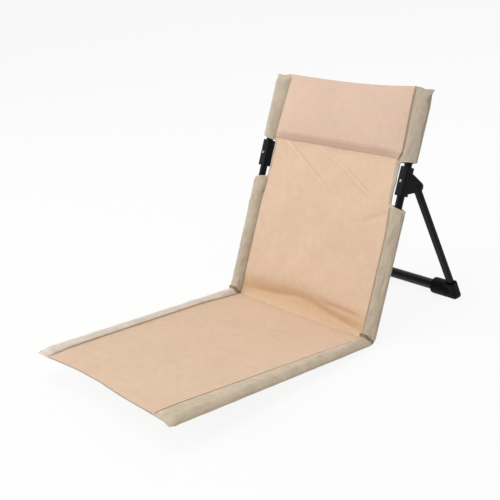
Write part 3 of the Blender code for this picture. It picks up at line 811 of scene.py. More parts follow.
@dataclass(frozen=True)
class Stitch:
    """Size of one sewn stitch and the pitch of its row."""

    length: float = 3.0 * MM
    pitch: float = 4.2 * MM
    radius: float = 0.38 * MM
    steps: int = 5
    around: int = 6

    def capsules(self, line: Array, normals: Array) -> Array:
        """Return the points of the stitches along a line.

        Each stitch is a thin capsule that follows the line, with radius r * sqrt(1 - 0.98 s^4) at s from -1
        to 1 and a slight arch of half a radius in its middle.

        Args:
            line: Points of the row.
            normals: Surface normals at them.

        Returns:
            Points by stitch, step, turn and axis.
        """
        run = arc_lengths(line, 0)
        at = (np.arange(int(run[-1] / self.pitch)) + 0.5) * self.pitch
        centre = sample(line, run, at)
        tangent = unit(sample(line, run, at + self.length / 2) - centre)
        up = unit(sample(normals, run, at))
        frame = (centre, tangent, up, np.cross(tangent, up))
        centre, tangent, up, beside = (part[:, None, None, :] for part in frame)
        s = np.linspace(-1, 1, self.steps)[:, None, None]
        angle = turns(self.around)[:, None]
        radius = self.radius * np.sqrt(1 - 0.98 * s**4)
        lift = self.radius * (0.5 - 0.5 * s * s)
        away = up * (lift + radius * np.sin(angle)) + beside * (radius * np.cos(angle))
        return centre + tangent * (s * self.length / 2) + away

    def row(self, name: str, paths: list[Path]) -> Piece:
        """Return rows of stitches as one piece: a tube each, with both ends closed."""
        cloud = np.concatenate([self.capsules(line, normals) for line, normals in paths])
        index = closed(np.arange(self.steps * self.around).reshape(self.steps, self.around))
        ends = np.stack((index[0, -2::-1], index[-1, :-1]))
        offsets = np.arange(len(cloud))[:, None, None] * (self.steps * self.around)
        faces = (cells(index).reshape(1, -1, 4) + offsets).reshape(-1, 4).tolist()
        faces += (ends[None] + offsets).reshape(-1, self.around).tolist()
        mesh = bpy.data.meshes.new(name)
        mesh.from_pydata(cloud.reshape(-1, 3).tolist(), [], faces)
        close_mesh(mesh)
        mesh.shade_smooth()
        return add_object(name, mesh)


PLAIN_THREAD = Stitch()
# Size of the seat's pale piping and of the dark line of painted shadow in the seams.
PIPING_AND_SEAM_SHADOW = Stitch(length=4.6 * MM, radius=0.42 * MM)
# Painted shadow line along the cut edges.
EDGE_SHADOW_LINE = Stitch(length=4.6 * MM, radius=0.75 * MM)
# Painted shadow line in the corner's fold.
FOLD_SHADOW_LINE = Stitch(length=1.7 * MM, pitch=1.4 * MM, radius=0.75 * MM)
TIGHT_THREAD = Stitch(length=2.2 * MM, pitch=1.3 * MM, radius=0.42 * MM)


def flat_path(line: Array, facing: Array, lift: float) -> Path:
    """Return a stitch path lifted off a line, with one normal all along."""
    return line + facing * lift, np.broadcast_to(facing, line.shape)


def seam_path(points: Array, side: Side, column: int) -> Path:
    """Return a column of a sleeve as a stitch path, with normals that point out of the sleeve's front."""
    line = points[:, column]
    beside = points[:, column + 1] - points[:, column - 1]
    normal = unit(np.cross(beside, np.gradient(line, axis=0)))
    outward = np.cross(np.gradient(points.mean(1), axis=0), ACROSS)
    turn = np.sign((normal * outward).sum(1, keepdims=True)) * np.sign(outward[:, 2:3])
    normal = normal * np.where(turn == 0, side.value, turn)
    return line + normal * THREAD_LIFT, normal


@dataclass(frozen=True)
class SeamPlan:
    """How far inside the pole axes the inner seams of the sleeves lie."""

    corner: float = 15.2 * MM
    seat_left: float = 20 * MM
    seat_right: float = 38 * MM
    back_middle: float = 15.8 * MM
    mouth: float = 21.5 * MM
    upper: float = 18.5 * MM
    top: float = 27.5 * MM
    flare: float = 6.0 * MM
    lift: float = 4.0 * MM
    lean: float = 2.0 * MM

    def rise(self, t: Array, side: Array | int) -> Array:
        """Return n of the seam beside the seat: on the left the canvas is drawn up over the pole."""
        left = self.lift * ramp(t, 20, 130) * ramp(t, 500, 455)
        return np.where(np.asarray(side) > 0, 0.0, left)

    def seat(self, t: Array, side: Array | int) -> Array:
        """Return the seam beside the seat: straight to a wide front on the right, near the left pole."""
        part = share(t, 30, 450)
        lean = self.lean * ramp(t, 0, 120)
        right = mix(self.corner, self.seat_right, part) + lean
        left = mix(self.corner, self.seat_left, part**2) - lean / 2
        return np.where(np.asarray(side) > 0, right, left)

    def back(self, t: Array, side: Array | int) -> Array:
        """Return the seam beside the back: near the pole up to the upper mouth, then further in to the top.

        On the right it flares inwards again at the foot of the upper sleeve.
        """
        low = mix(self.corner, self.back_middle, ramp(t, 0, 180))
        low = mix(low, self.mouth, ramp(t, 215, 275))
        lean = side * self.lean / 2
        high = mix(self.upper + lean, self.top - lean, share(t, 370, 510))
        high = high + self.flare * np.maximum(side, 0) * ramp(t, 392, 376)
        return mix(low, high, ramp(t, 300, 340))


@dataclass
class Canvas:
    """The peach canvas, one sheet from the front edge of the seat, round the corner and up the back."""

    chair: ChairFrame
    seams: SeamPlan
    finishes: Finishes
    cut_edge: float = 186.5 * MM
    lap: float = 4 * MM
    cut_low: float = 275 * MM
    cut_high: float = 373 * MM
    front: float = 500.3 * MM
    front_left: float = 12.5 * MM
    front_right: float = 6 * MM
    top: float = 516 * MM
    top_dip: float = 2.4 * MM
    top_lift: float = 6.4 * MM
    corner_sag: float = 5.5 * MM
    seat_sag: float = 4 * MM
    pocket_depth: float = 28 * MM
    pocket_top: float = 84 * MM
    pocket_round: float = 8 * MM
    valley: float = 20 * MM
    valley_rise: float = 14 * MM
    valley_drop: float = 11 * MM
    back_sag: float = 6 * MM
    seat_ripple: float = 0.55 * MM
    back_ripple: float = 0.9 * MM
    thickness: float = 1.1 * MM
    edge_radius: float = 1.1 * MM
    columns: int = 131
    seat_rows: int = 100
    back_rows: int = 210

    SEAT_CREASES = (
        Crease((-152, 420), (-140, 290), 2.4, 0.8),
        Crease((-16, 260), (6, 14), 2.4, 0.8),
        Crease((77, 230), (88, -20), 2.4, 0.8),
    )
    BACK_CREASES = (
        Crease((40, 42), (190, 37), 6.0, 3.6),
        *PRESSED,
        Crease((104, 223), (196, 266), 6.0, 1.6),
        Crease((190, 85), (140, 180), 8.0, -1.3),
    )

    def across(self) -> Array:
        """Return u from -1 to 1 over the columns."""
        return np.linspace(-1, 1, self.columns)[None, :]

    def belly(self, u: Array) -> Array:
        """Return how much of the sag shows at u: 1 - u^4, so that the edges stay with the poles."""
        return 1 - u**4

    def half_width(self, t: Array, side: Array | int) -> Array:
        """Return half the width along the back: a lap beyond the seams, drawn in between the cut-outs."""
        lap = self.lap * (1 - 0.9 * ramp(t, 498, 510))
        wide = self.chair.pole_x - self.seams.back(t, side) + lap
        inside = ease((t - self.cut_low) / (8 * MM)) * ease((self.cut_high - t) / (10 * MM))
        return mix(wide, self.cut_edge, inside)

    def front_at(self, u: Array) -> Array:
        """Return t of the front edge: drawn in a little left of the middle, with both corners forward."""
        left = np.clip((-u - 0.35) / 0.65, 0, 1) ** 1.6
        right = 1 - (1 - np.clip((u + 0.1) / 1.1, 0, 1)) ** 2
        return self.front + self.front_left * left + self.front_right * right

    def seat_points(self) -> Array:
        """Return the seat from its front edge to the corner.

        n is minus a shallow sag, with three long faint creases and a soft ripple that ends at the corner.
        """
        u = self.across()
        v = np.linspace(1, 0, self.seat_rows)[:, None] ** 1.25
        sag = mix(self.corner_sag, self.seat_sag, ease(4 * v)) * (1 - ease((v - 0.5) / 0.5))
        low = self.chair.mitre(-self.corner_sag * self.belly(u))
        t = mix(low, self.front_at(u), v)
        x = u * (self.chair.pole_x - self.seams.seat(t, np.sign(u)) + self.lap)
        n = self.seams.rise(t, np.sign(u)) * u**6 - sag * self.belly(u)
        n = n - sum(crease.dent(x, t) for crease in self.SEAT_CREASES)
        n = n + self.seat_ripple * ripple(x, t, 3, 95 * MM) * self.belly(u) * ease(v * 8)
        return self.chair.seat.place(x, n, t)

    def top_edge(self, u: Array) -> Array:
        """Return t of the top edge: dipped in the middle and highest at the right end."""
        return self.top - self.top_dip * (1 - u * u) + self.top_lift * np.maximum(u, 0) ** 2

    def pocket_height(self, u: Array) -> Array:
        """Return the height of the pocket's valley: highest near the middle and lowest at the right."""
        rise = self.valley_rise * bell(u + 0.1, 0.38)
        return self.valley + rise - self.valley_drop * ease((u - 0.1) / 0.8)

    def depth(self, u: Array, t: Array) -> Array:
        """Return how far the back hangs behind the poles: a pocket at the corner, then a shallow sag.

        The pocket is a soft minimum of two curves that meet at its valley.
        """
        valley = self.pocket_height(u)
        below = self.corner_sag + (self.pocket_depth - self.corner_sag) * (t / valley) ** 0.9
        rise = np.minimum((t - valley) / (self.pocket_top - valley), 1)
        above = mix(self.pocket_depth, self.back_sag, 1 - (1 - rise) ** 2.8)
        far = np.clip((t - self.pocket_top) / (self.top - self.pocket_top), 0, 1)
        pocket = -soft_max(-below, -above, self.pocket_round)
        return (pocket - self.back_sag * far**2) * self.belly(u)

    def back_points(self) -> Array:
        """Return the back from the corner to its top edge, with the pocket and its slanting creases."""
        u = self.across()
        v = np.linspace(0, 1, self.back_rows)[:, None] ** 1.35
        low = self.chair.mitre(-self.corner_sag * self.belly(u))
        t = mix(low, self.top_edge(u), v)
        x = u * self.half_width(t, np.sign(u))
        n = -self.depth(u, np.maximum(t, 0.0))
        n = n - sum(crease.dent(x, t) for crease in self.BACK_CREASES)
        n = n + self.back_ripple * ripple(x, t, 5, 105 * MM) * self.belly(u) * ramp(t, 30, 90)
        return self.chair.back.place(x, n, t)

    def points(self) -> Array:
        """Return the whole sheet."""
        return np.concatenate((self.seat_points(), self.back_points()[1:]))

    def build(self) -> Piece:
        """Return the canvas with its thickness, with the imported panels hidden."""
        piece = grid_piece("canvas", self.points())
        thicken(piece, self.thickness)
        dress(piece, self.finishes.peach)
        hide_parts("seat_panel", "back_panel")
        return piece

    def flat_size(self) -> tuple[float, float]:
        """Return the cut's width and length: the widest row and the middle column, laid flat."""
        points = self.points()
        length = float(arc_lengths(points, 0)[-1, self.columns // 2])
        width = float(arc_lengths(points, 1)[:, -1].max())
        return round(width, 3), round(length, 3)

    def flat_area(self) -> float:
        """Return the area of the cut, from the two triangles in each cell of the grid."""
        a, b, c, d = np.moveaxis(cells(self.points()), 2, 0)
        triangles = np.stack((np.cross(d - a, b - a), np.cross(c - d, c - b)))
        return float(np.linalg.norm(triangles, axis=-1).sum() / 2)

    def front_edge(self) -> Piece:
        """Return the rolled front edge of the seat: a thin tube along the canvas's first row."""
        rail = self.chair.seat
        rings = tube(self.seat_points()[0, 2:-2], self.edge_radius, rail.along, rail.facing, around=12)
        piece = grid_piece("front_edge", capped(rings), wrap=True, merge=TUBE_MERGE)
        return dress(piece, self.finishes.rolled, Body.SEAT)


@dataclass
class Headrest:
    """The second layer over the upper back, with a folded hem along its lower edge."""

    canvas: Canvas
    low: float = 374.5 * MM
    droop: float = 3.5 * MM
    lap: float = 0.3 * MM
    hem: float = HEM_BAND
    hem_rise: float = 8.5 * MM
    groove: float = 1.1 * MM
    crown: float = 3.85 * MM
    gap: float = 1.35 * MM
    uneven: float = 0.5 * MM
    thickness: float = 1.4 * MM
    stitch_at: float = 15.68 * MM
    stitch_lift: float = 0.9 * MM
    columns: int = 95
    rows: int = 76

    def points(self) -> Array:
        """Return the front layer.

        n follows the back canvas, plus a rise that grows over the hem band, stays over the middle and closes
        at the top; a groove marks the hem's seam, and the lower edge droops a little towards the left.
        """
        u = np.linspace(-1, 1, self.columns)[None, :]
        v = np.linspace(0, 1, self.rows)[:, None] ** 1.3
        chair, seams = self.canvas.chair, self.canvas.seams
        low = self.low - self.droop * ((1 - u) / 2) ** 1.5
        t = mix(low, self.canvas.top_edge(u) + 1 * MM, v)
        x = u * (chair.pole_x - seams.back(t, np.sign(u)) + self.lap)
        up = t - low
        band = np.clip(up / self.hem, 0, 1) ** 0.9
        rise = self.hem_rise * band * (1 - ramp(up - self.hem, 0, 150))
        belly = self.crown * np.sin(math.pi * np.clip(up / (t[-1] - low), 0, 1)) ** 1.2
        sides = 1 - np.abs(u) ** 7
        n = self.gap + (rise + belly) * sides - self.canvas.depth(u, t)
        n = n - self.groove * bell(up - self.hem, 1.5 * MM) * sides
        n = n + self.uneven * ripple(x, t, 11, 80 * MM) * sides * band
        return chair.back.place(x, n, t)

    def build(self) -> Piece:
        """Return the headrest with its thickness."""
        piece = grid_piece("headrest", self.points())
        thicken(piece, self.thickness)
        dress(piece, self.canvas.finishes.rose, Body.BACK)
        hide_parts("headrest_panel")
        return piece

    def stitches(self) -> Piece:
        """Return the stitch row above the hem band."""
        points = self.points()
        run = arc_lengths(points, 0)[:, self.columns // 2]
        row = int(np.argmin(np.abs(run - self.stitch_at)))
        path = flat_path(points[row, 3:-3], self.canvas.chair.back.facing, self.stitch_lift)
        piece = PLAIN_THREAD.row("headrest_hem_stitches", [path])
        return dress(piece, self.canvas.finishes.peach_thread, Body.BACK)


@dataclass(frozen=True)
class Lie:
    """How a sleeve lies over its pole: its ridge's offset from the axis and the width of its flange."""

    ridge: float
    flange: float


CORNER_LIE = Lie(0.0, 3.0 * MM)


@dataclass(frozen=True)
class SideForm:
    """What differs between the sleeves and the cut-outs of the two sides."""

    half: float
    cover: float
    seat: Lie
    back: Lie
    upper: Lie
    seat_tip: float
    seat_slant: float
    mouth: float
    mouth_slant: float
    upper_tip: float
    edge_narrow: float
    edge_wide: float


FORMS = {
    Side.LEFT: SideForm(
        half=9.2 * MM, cover=8.6 * MM,
        seat=Lie(2.0 * MM, 0.5 * MM), back=Lie(2.0 * MM, 2.5 * MM), upper=Lie(2.0 * MM, 3.0 * MM),
        seat_tip=513 * MM, seat_slant=0.0,
        mouth=367.3 * MM, mouth_slant=3.7 * MM, upper_tip=517 * MM,
        edge_narrow=4.5 * MM, edge_wide=5.0 * MM,
    ),
    Side.RIGHT: SideForm(
        half=9.9 * MM, cover=8.9 * MM,
        seat=Lie(5.0 * MM, 0.5 * MM), back=Lie(-3.0 * MM, 4.5 * MM), upper=Lie(-3.0 * MM, 4.5 * MM),
        seat_tip=508.5 * MM, seat_slant=4.2 * MM,
        mouth=370.6 * MM, mouth_slant=2.8 * MM, upper_tip=523.5 * MM,
        edge_narrow=6.5 * MM, edge_wide=13.0 * MM,
    ),
}


@dataclass
class SleeveSection:
    """Cross section of a sleeve: a tunnel with a ridge beside the pole and a flat flange at its seam."""

    outer: float = 20 * MM
    narrowest: float = 10.8 * MM
    half: float = 9.9 * MM
    edge: float = 1.1 * MM
    count: int = 44

    def across(self) -> Array:
        """Return positions from the inner seam (-1) to the outer edge (1) and back, as a closed loop."""
        return -np.cos(turns(2 * self.count))[None, :]

    def front(self) -> Array:
        """Return which points of the loop lie on its front."""
        return (np.arange(2 * self.count) <= self.count)[None, :]

    def offset(self, inner: Array) -> Array:
        """Return x from the pole axis, outwards, for a seam that lies inner inside the axis."""
        return mix(-inner, self.outer, (self.across() + 1) / 2)

    def loop(self, offset: Array, tunnel: Array, ridge: Array, full: Array) -> Array:
        """Return n round the loop: a front that climbs to its ridge and falls outwards, and a rounder rear.

        Args:
            offset: x from the pole axis, by row and round the loop.
            tunnel: How far the tunnel reaches inside the axis, by row.
            ridge: Offset of the ridge from the axis, by row.
            full: How full the section is, from 0 at a flat tip to 1.

        Returns:
            n by row and round the loop.
        """
        tunnel = np.maximum(tunnel, self.narrowest)
        away = np.maximum((ridge - offset) / (tunnel + ridge), (offset - ridge) / (self.outer - ridge))
        reach = np.maximum(-offset / tunnel, offset / self.outer)
        rise = self.half - self.edge
        front = full * (self.edge + rise * (1 - np.clip(away, 0, 1) ** 1.9) ** 0.85)
        rear = -full * (self.edge + rise * (1 - np.clip(reach, 0, 1) ** 2) ** 0.62)
        return np.where(self.front(), front, rear)


@dataclass
class Sleeve:
    """A khaki sleeve round a pole."""

    chair: ChairFrame
    seams: SeamPlan
    finishes: Finishes
    side: Side
    section: SleeveSection
    cloth: float = 1.2 * MM
    cover: float = 8.9 * MM
    lip: float = 0.5 * MM
    mouth_depth: float = 38 * MM
    hem_radius: float = 0.9 * MM
    # Column of the outer stitch row, near the silhouette, where its dark thread also paints the edge's
    # shadow.
    outer_seam: int = 41
    waver: float = 1.1 * MM
    folds: float = 0.6 * MM
    seam_shadow_inset: float = 0.4 * MM
    tip_flat: float = 0.93
    tip_bulge: float = 0.55

    @property
    def form(self) -> SideForm:
        """Return the form of this side."""
        return FORMS[self.side]

    def ring(self, rail: Rail, t: Array, n: Array, offset: Array) -> Array:
        """Return rings of the sleeve at t, with n round the loop and an offset from the pole."""
        return rail.place(self.side.value * (self.chair.pole_x + offset), n, t)

    def seed(self, number: int) -> int:
        """Return a seed of this side's own."""
        return number + (self.side is Side.RIGHT)

    def spread(self, run: Array, inner: Array) -> Array:
        """Return x from the pole axis with an outer edge that wavers a little along the sleeve."""
        outer = np.clip(self.section.across(), 0, 1) ** 2
        wave = self.waver * ripple(run, 0.0 * run, self.seed(41), 42 * MM, 5)
        return self.section.offset(inner) + wave * outer

    def drape(self, run: Array, offset: Array, lie: Lie, full: Array) -> Array:
        """Return n with soft folds along the sleeve that never come nearer the pole than its cover.

        Args:
            run: Distance from the corner, negative along the seat.
            offset: x from the pole axis, by row and round the loop.
            lie: How the sleeve lies away from the corner.
            full: How full the sleeve is.

        Returns:
            n by row and round the loop.
        """
        away = ramp(np.abs(run), 0, 60)
        ridge = mix(CORNER_LIE.ridge, lie.ridge, away)
        flange = mix(CORNER_LIE.flange, lie.flange, away)
        front = self.section.front()
        lens = np.clip(1 - self.section.across() ** 2, 0, 1)
        folds = ripple(run, offset * 2.2 + front * 0.4, self.seed(21), 46 * MM)
        n = self.section.loop(offset, -offset[:, :1] - flange, ridge, full)
        n = n + self.folds * folds * lens * full
        pole = np.sqrt(np.clip(self.cover**2 - offset**2, 0, None)) * (full > 0.98)
        return np.where(front, np.maximum(n, pole), np.minimum(n, -pole))

    def tip(self, t: Array, cap: float, tip: float) -> Array:
        """Return how full the sleeve is at t: 1 up to the pole's cap and almost flat at the sewn tip."""
        return 1 - self.tip_flat * ease((t - cap) / (tip - cap)) ** self.tip_bulge

    def mouth(self, t: Array, n: Array, offset: Array, inward: float) -> Array:
        """Return the rows inside an open end: the inner wall, a cloth's thickness in, and a closed floor.

        Args:
            t: Edge of the mouth round the loop.
            n: n of the mouth's outer ring.
            offset: Offset of that ring from the pole.
            inward: 1 where the sleeve lies above its mouth and -1 where it lies below.

        Returns:
            Rows from the mouth's lip to the floor.
        """
        rail = self.chair.back
        shrink = np.sign(n) * np.maximum(np.abs(n) - self.cloth, 0.3 * MM)
        narrow = offset * (1 - self.cloth / self.section.outer)
        lip = self.ring(rail, t - inward * self.lip, (n + shrink) / 2, (offset + narrow) / 2)
        inner = self.ring(rail, t, shrink, narrow)
        deep = self.ring(rail, t + inward * self.mouth_depth, shrink, narrow)
        floor = np.broadcast_to(deep.mean(0), deep.shape)
        return np.stack((lip, inner, deep, floor))

    def tunnel(self, name: str, points: Array) -> Piece:
        """Return the sleeve's own cloth as a closed piece."""
        piece = grid_piece(f"{name}_sleeve_{self.side.label}", points, wrap=True, merge=TIP_MERGE)
        return dress(piece, self.finishes.khaki)

    def seam_shadow_path(self, points: Array, lift: float) -> Path:
        """Return the path of the dark line that paints the inner seam's shadow, beside the flange, lifted out
        of it.
        """
        normal = seam_path(points, self.side, 1)[1]
        line = points[:, 0] + normal * lift
        line[:, 0] -= self.side.value * self.seam_shadow_inset
        return line, normal

    def seam_rows(self, name: str, points: Array, outer: Array, lift: float) -> list[Piece]:
        """Return the stitches along the flange and the outer edge, and the dark line that paints the seam's
        shadow.

        The outer edge's row is dark enough to paint that edge's shadow too.

        Args:
            name: First word of the pieces' names.
            points: Rows of the sleeve along its flange.
            outer: Rows along its outer edge.
            lift: Height of the seam's painted shadow line above the seam.

        Returns:
            The stitches and the painted shadow line.
        """
        label = self.side.label
        # Stitch rows along the flange and the outer edge; the outer row's dark thread also paints the edge's
        # shadow.
        paths = [seam_path(points, self.side, FLANGE_COLUMN), seam_path(outer, self.side, self.outer_seam)]
        row = PLAIN_THREAD.row(f"{name}_seam_stitches_{label}", paths)
        dress(row, self.finishes.khaki_thread)
        # Painted shadow: a dark line along the inner seam.
        seam = PIPING_AND_SEAM_SHADOW.row(f"{name}_seam_thread_{label}", [self.seam_shadow_path(points, lift)])
        dress(seam, self.finishes.painted_shadow_thread)
        return [row, seam]

    def hem(self, name: str, ring: Array) -> Piece:
        """Return the rolled hem round a mouth: a thin tube along the mouth's outer ring."""
        along = self.chair.back.along
        beside = unit(np.cross(np.roll(ring, -1, axis=0) - np.roll(ring, 1, axis=0), along))
        points = tube(ring, self.hem_radius, along, beside[:, None], around=10)
        points = np.concatenate((points, points[:1]))
        piece = grid_piece(f"{name}_mouth_hem_{self.side.label}", points, wrap=True, merge=TUBE_MERGE)
        return dress(piece, self.finishes.cream, Body.BACK)


@dataclass
class SideSleeve(Sleeve):
    """The long sleeve from the seat's tip round the corner to the mouth below the bracket."""

    cap: float = 493.5 * MM
    droop: float = 1.5 * MM
    mouth_at: float = 275 * MM
    mouth_slant: float = 4 * MM
    knuckle_top: float = 16.3 * MM
    knuckle_half: float = 11.5 * MM
    knuckle_flat: float = 2 * MM
    knuckle_reach: float = 11 * MM
    block_top: float = 8.9 * MM
    block_half: float = 10.2 * MM
    corner_half: float = 9.45 * MM
    fold_depth: float = 4.0 * MM
    fold_width: float = 1.4 * MM
    rounding: float = 4.0 * MM
    shear_reach: float = 15 * MM
    softness: float = 0.2
    corner_reach: float = 60 * MM
    tip_start: float = 470 * MM
    groove: float = 0.9 * MM
    corner_rows: int = 38
    tip_rows: int = 24
    seat_rows: int = 90
    back_rows: int = 58
    edge_start: int = 9
    piping_end: int = 24
    bartack_row: int = 22
    bartack_rows: int = 6

    def corner_shape(self, t: Array, n: Array, offset: Array) -> tuple[Array, Array]:
        """Return n and t near the corner.

        The front rises over the knuckle and its block as flat-topped humps, joined by soft maxima, with a
        sharp crease along the corner. The outer edge is rounded off, and t is sheared onto the plane that
        halves the corner: t + mitre(n) * exp(-t / reach).
        """
        outer = ramp(offset, 9.5, 18.5)
        inner = ease((offset + self.seams.corner) / (5 * MM))
        wide = bell(offset, self.knuckle_half, power=12)
        peak = self.knuckle_top * wide * bell(np.maximum(t - self.knuckle_flat, 0), self.knuckle_reach)
        block = self.block_top * bell(offset, self.block_half, power=8) * ramp(t, 38, 28)
        hump = soft_max(peak, block, self.softness * peak)
        over = soft_max(n, hump, self.softness * hump)
        fold = self.fold_depth * (1 - wide / 2) * np.exp(-t / self.fold_width) * (1 - outer) * inner
        rear = mix(1.0, self.corner_half / self.section.half, bell(t, 14 * MM))
        n = np.where(self.section.front(), over - fold, n * rear)
        n = n + self.rounding * outer * (1 - share(t, 0, 12)) ** 2
        return n, t + self.chair.mitre(n) * np.exp(-t / self.shear_reach)

    def corner_steps(self) -> Array:
        """Return distances from the corner, close together beside it."""
        return self.corner_reach * np.linspace(0, 1, self.corner_rows) ** 1.7

    def seat_points(self) -> Array:
        """Return the rows along the seat, from the flat tip, whose outer corner droops, to the corner."""
        tip_at = self.form.seat_tip
        t = np.concatenate((
            np.linspace(tip_at, self.tip_start, self.tip_rows, endpoint=False),
            np.linspace(self.tip_start, self.corner_reach, self.seat_rows, endpoint=False),
            self.corner_steps()[::-1],
        ))[:, None]
        offset = self.spread(-t, self.seams.seat(t, self.side.value))
        n = self.drape(-t, offset, self.form.seat, self.tip(t, self.cap, tip_at))
        n = n + self.seams.rise(t, self.side.value) * ((1 - self.section.across()) / 2) ** 4
        n, along = self.corner_shape(t, n, offset)
        outwards = np.maximum(offset / self.section.outer, -0.2)
        along = along + self.form.seat_slant * outwards * ramp(t, 440, 500)
        droop = self.droop * np.maximum(outwards, 0) * ramp(t - self.cap, -8, 8)
        rows = self.ring(self.chair.seat, along, n - droop, offset)
        flat = self.ring(self.chair.seat, along[:1], -droop[:1], offset[:1])
        return np.concatenate((flat, rows))

    def back_points(self) -> Array:
        """Return the rows along the back, from the corner to the mouth and into it."""
        upper = np.linspace(self.corner_reach, self.mouth_at, self.back_rows)[1:]
        t = np.concatenate((self.corner_steps()[1:], upper))[:, None]
        offset = self.spread(t, self.seams.back(t, self.side.value))
        n = self.drape(t, offset, self.form.back, 1.0 + 0.0 * t)
        strip = self.section.front() * ramp(t, 70, 110) * ramp(t, 190, 150)
        n = n - self.groove * bell(offset - 12.5 * MM, 1.4 * MM) * strip
        n, along = self.corner_shape(t, n, offset)
        along = along - self.mouth_slant * offset / self.section.outer * ramp(t, 225, 275)
        rows = self.ring(self.chair.back, along, n, offset)
        return np.concatenate((rows, self.mouth(along[-1], n[-1], offset[-1], -1.0)))

    def build(self) -> Piece:
        """Return the sleeve, with the imported sleeves it stands for hidden."""
        label = self.side.label
        piece = self.tunnel("side", np.concatenate((self.seat_points(), self.back_points())))
        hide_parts(f"seat_sleeve_{label}", f"lower_back_sleeve_{label}")
        self.chair.bend(piece)
        return piece

    def stitches(self) -> list[Piece]:
        """Return the stitch rows and the dark line of the seams, and the dark line in the corner's fold; both
        dark lines are painted shadow.
        """
        seat = self.seat_points()
        back = self.back_points()[:-MOUTH_ROWS - 1]
        points = np.concatenate((seat[TIP_ROWS:], back))
        pieces = self.seam_rows("side", points, back[self.edge_start:], lift=0.1 * MM)
        outward = (self.chair.seat.facing + self.chair.back.facing) / 2
        # Painted shadow: a dark line along the corner's fold.
        path = flat_path(seat[-1, 1:self.section.count - 1], outward, lift=0.45 * MM)
        fold = FOLD_SHADOW_LINE.row(f"corner_fold_{self.side.label}", [path])
        pieces.append(dress(fold, self.finishes.painted_shadow_thread))
        for piece in pieces:
            self.chair.bend(piece)
        return pieces

    def bartacks(self) -> Piece:
        """Return the tight stitching that secures the seam's ends: at the mouth and at the corner."""
        rows = self.back_points()[:-MOUTH_ROWS - 1]
        mouth = seam_path(rows[-self.bartack_rows:], self.side, self.section.count - 8)
        row = self.seat_points()[-self.bartack_row, 2:18]
        corner = flat_path(row, self.chair.seat.facing, THREAD_LIFT)
        piece = TIGHT_THREAD.row(f"bartacks_{self.side.label}", [mouth, corner])
        dress(piece, self.finishes.tan_thread)
        self.chair.bend(piece)
        return piece

    def seat_piping(self) -> Piece:
        """Return the pale piping along the outer edge of the seat."""
        rows = self.seat_points()[TIP_ROWS:-self.piping_end]
        path = seam_path(rows, self.side, self.section.count - 2)
        piece = PIPING_AND_SEAM_SHADOW.row(f"seat_piping_{self.side.label}", [path])
        return dress(piece, self.finishes.cream, Body.SEAT)

    def mouth_hem(self) -> Piece:
        """Return the rolled hem of the mouth below the bracket."""
        return self.hem("lower", self.back_points()[-MOUTH_ROWS])


@dataclass
class UpperSleeve(Sleeve):
    """The short sleeve beside the headrest, from its mouth above the bracket to the flat tip."""

    cap: float = 502.5 * MM
    tip_start: float = 470 * MM
    ear: float = 3.3 * MM
    ear_drop: float = 2.6 * MM
    ear_dip: float = 2.2 * MM
    low_rows: int = 34
    tip_rows: int = 30
    edge_end: int = 8

    def points(self) -> Array:
        """Return the rows from the floor of the mouth, out over its lip and up to the tip.

        The mouth rises outwards. Below the tip the outer edge is drawn in over the end of the pole, and the
        sewn tip stands out as an ear that drops a little outwards, behind a shallow dip.
        """
        tip_at = self.form.upper_tip
        low = np.linspace(self.form.mouth, self.tip_start, self.low_rows)
        high = np.linspace(self.tip_start, tip_at, self.tip_rows)
        t = np.concatenate((low, high[1:]))[:, None]
        across = self.section.across()
        sewn = ease((t - self.cap) / (tip_at - self.cap))
        ear = self.ear * (1.3 * sewn - bell(t - self.cap, 16 * MM))
        offset = self.spread(t, self.seams.back(t, self.side.value)) + ear * np.clip(across, 0, 1) ** 3
        n = self.drape(t, offset, self.form.upper, self.tip(t, self.cap, tip_at))
        along = t + self.form.mouth_slant * offset / self.section.outer * ramp(t, 430, 380)
        along = along - self.ear_drop * (across + 1) / 2 * sewn
        along = along - self.ear_dip * bell(across - 0.15, 0.4) * sewn
        rows = self.ring(self.chair.back, along, n, offset)
        seam = self.ring(self.chair.back, along[-1:], 0.0 * n[-1:], offset[-1:])
        return np.concatenate((self.mouth(along[0], n[0], offset[0], 1.0)[::-1], rows, seam))

    def build(self) -> Piece:
        """Return the upper sleeve."""
        piece = self.tunnel("upper", self.points())
        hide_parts(f"upper_back_sleeve_{self.side.label}")
        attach(piece, Body.BACK.value)
        return piece

    def stitches(self) -> list[Piece]:
        """Return the stitch rows of the seams and the dark line that paints the seam's shadow."""
        points = self.points()[MOUTH_ROWS + 1:-TIP_ROWS]
        pieces = self.seam_rows("upper", points, points[:-self.edge_end], lift=0.9 * MM)
        for piece in pieces:
            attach(piece, Body.BACK.value)
        return pieces

    def mouth_hem(self) -> Piece:
        """Return the rolled hem of the mouth above the bracket."""
        return self.hem("upper", self.points()[MOUTH_ROWS - 1])


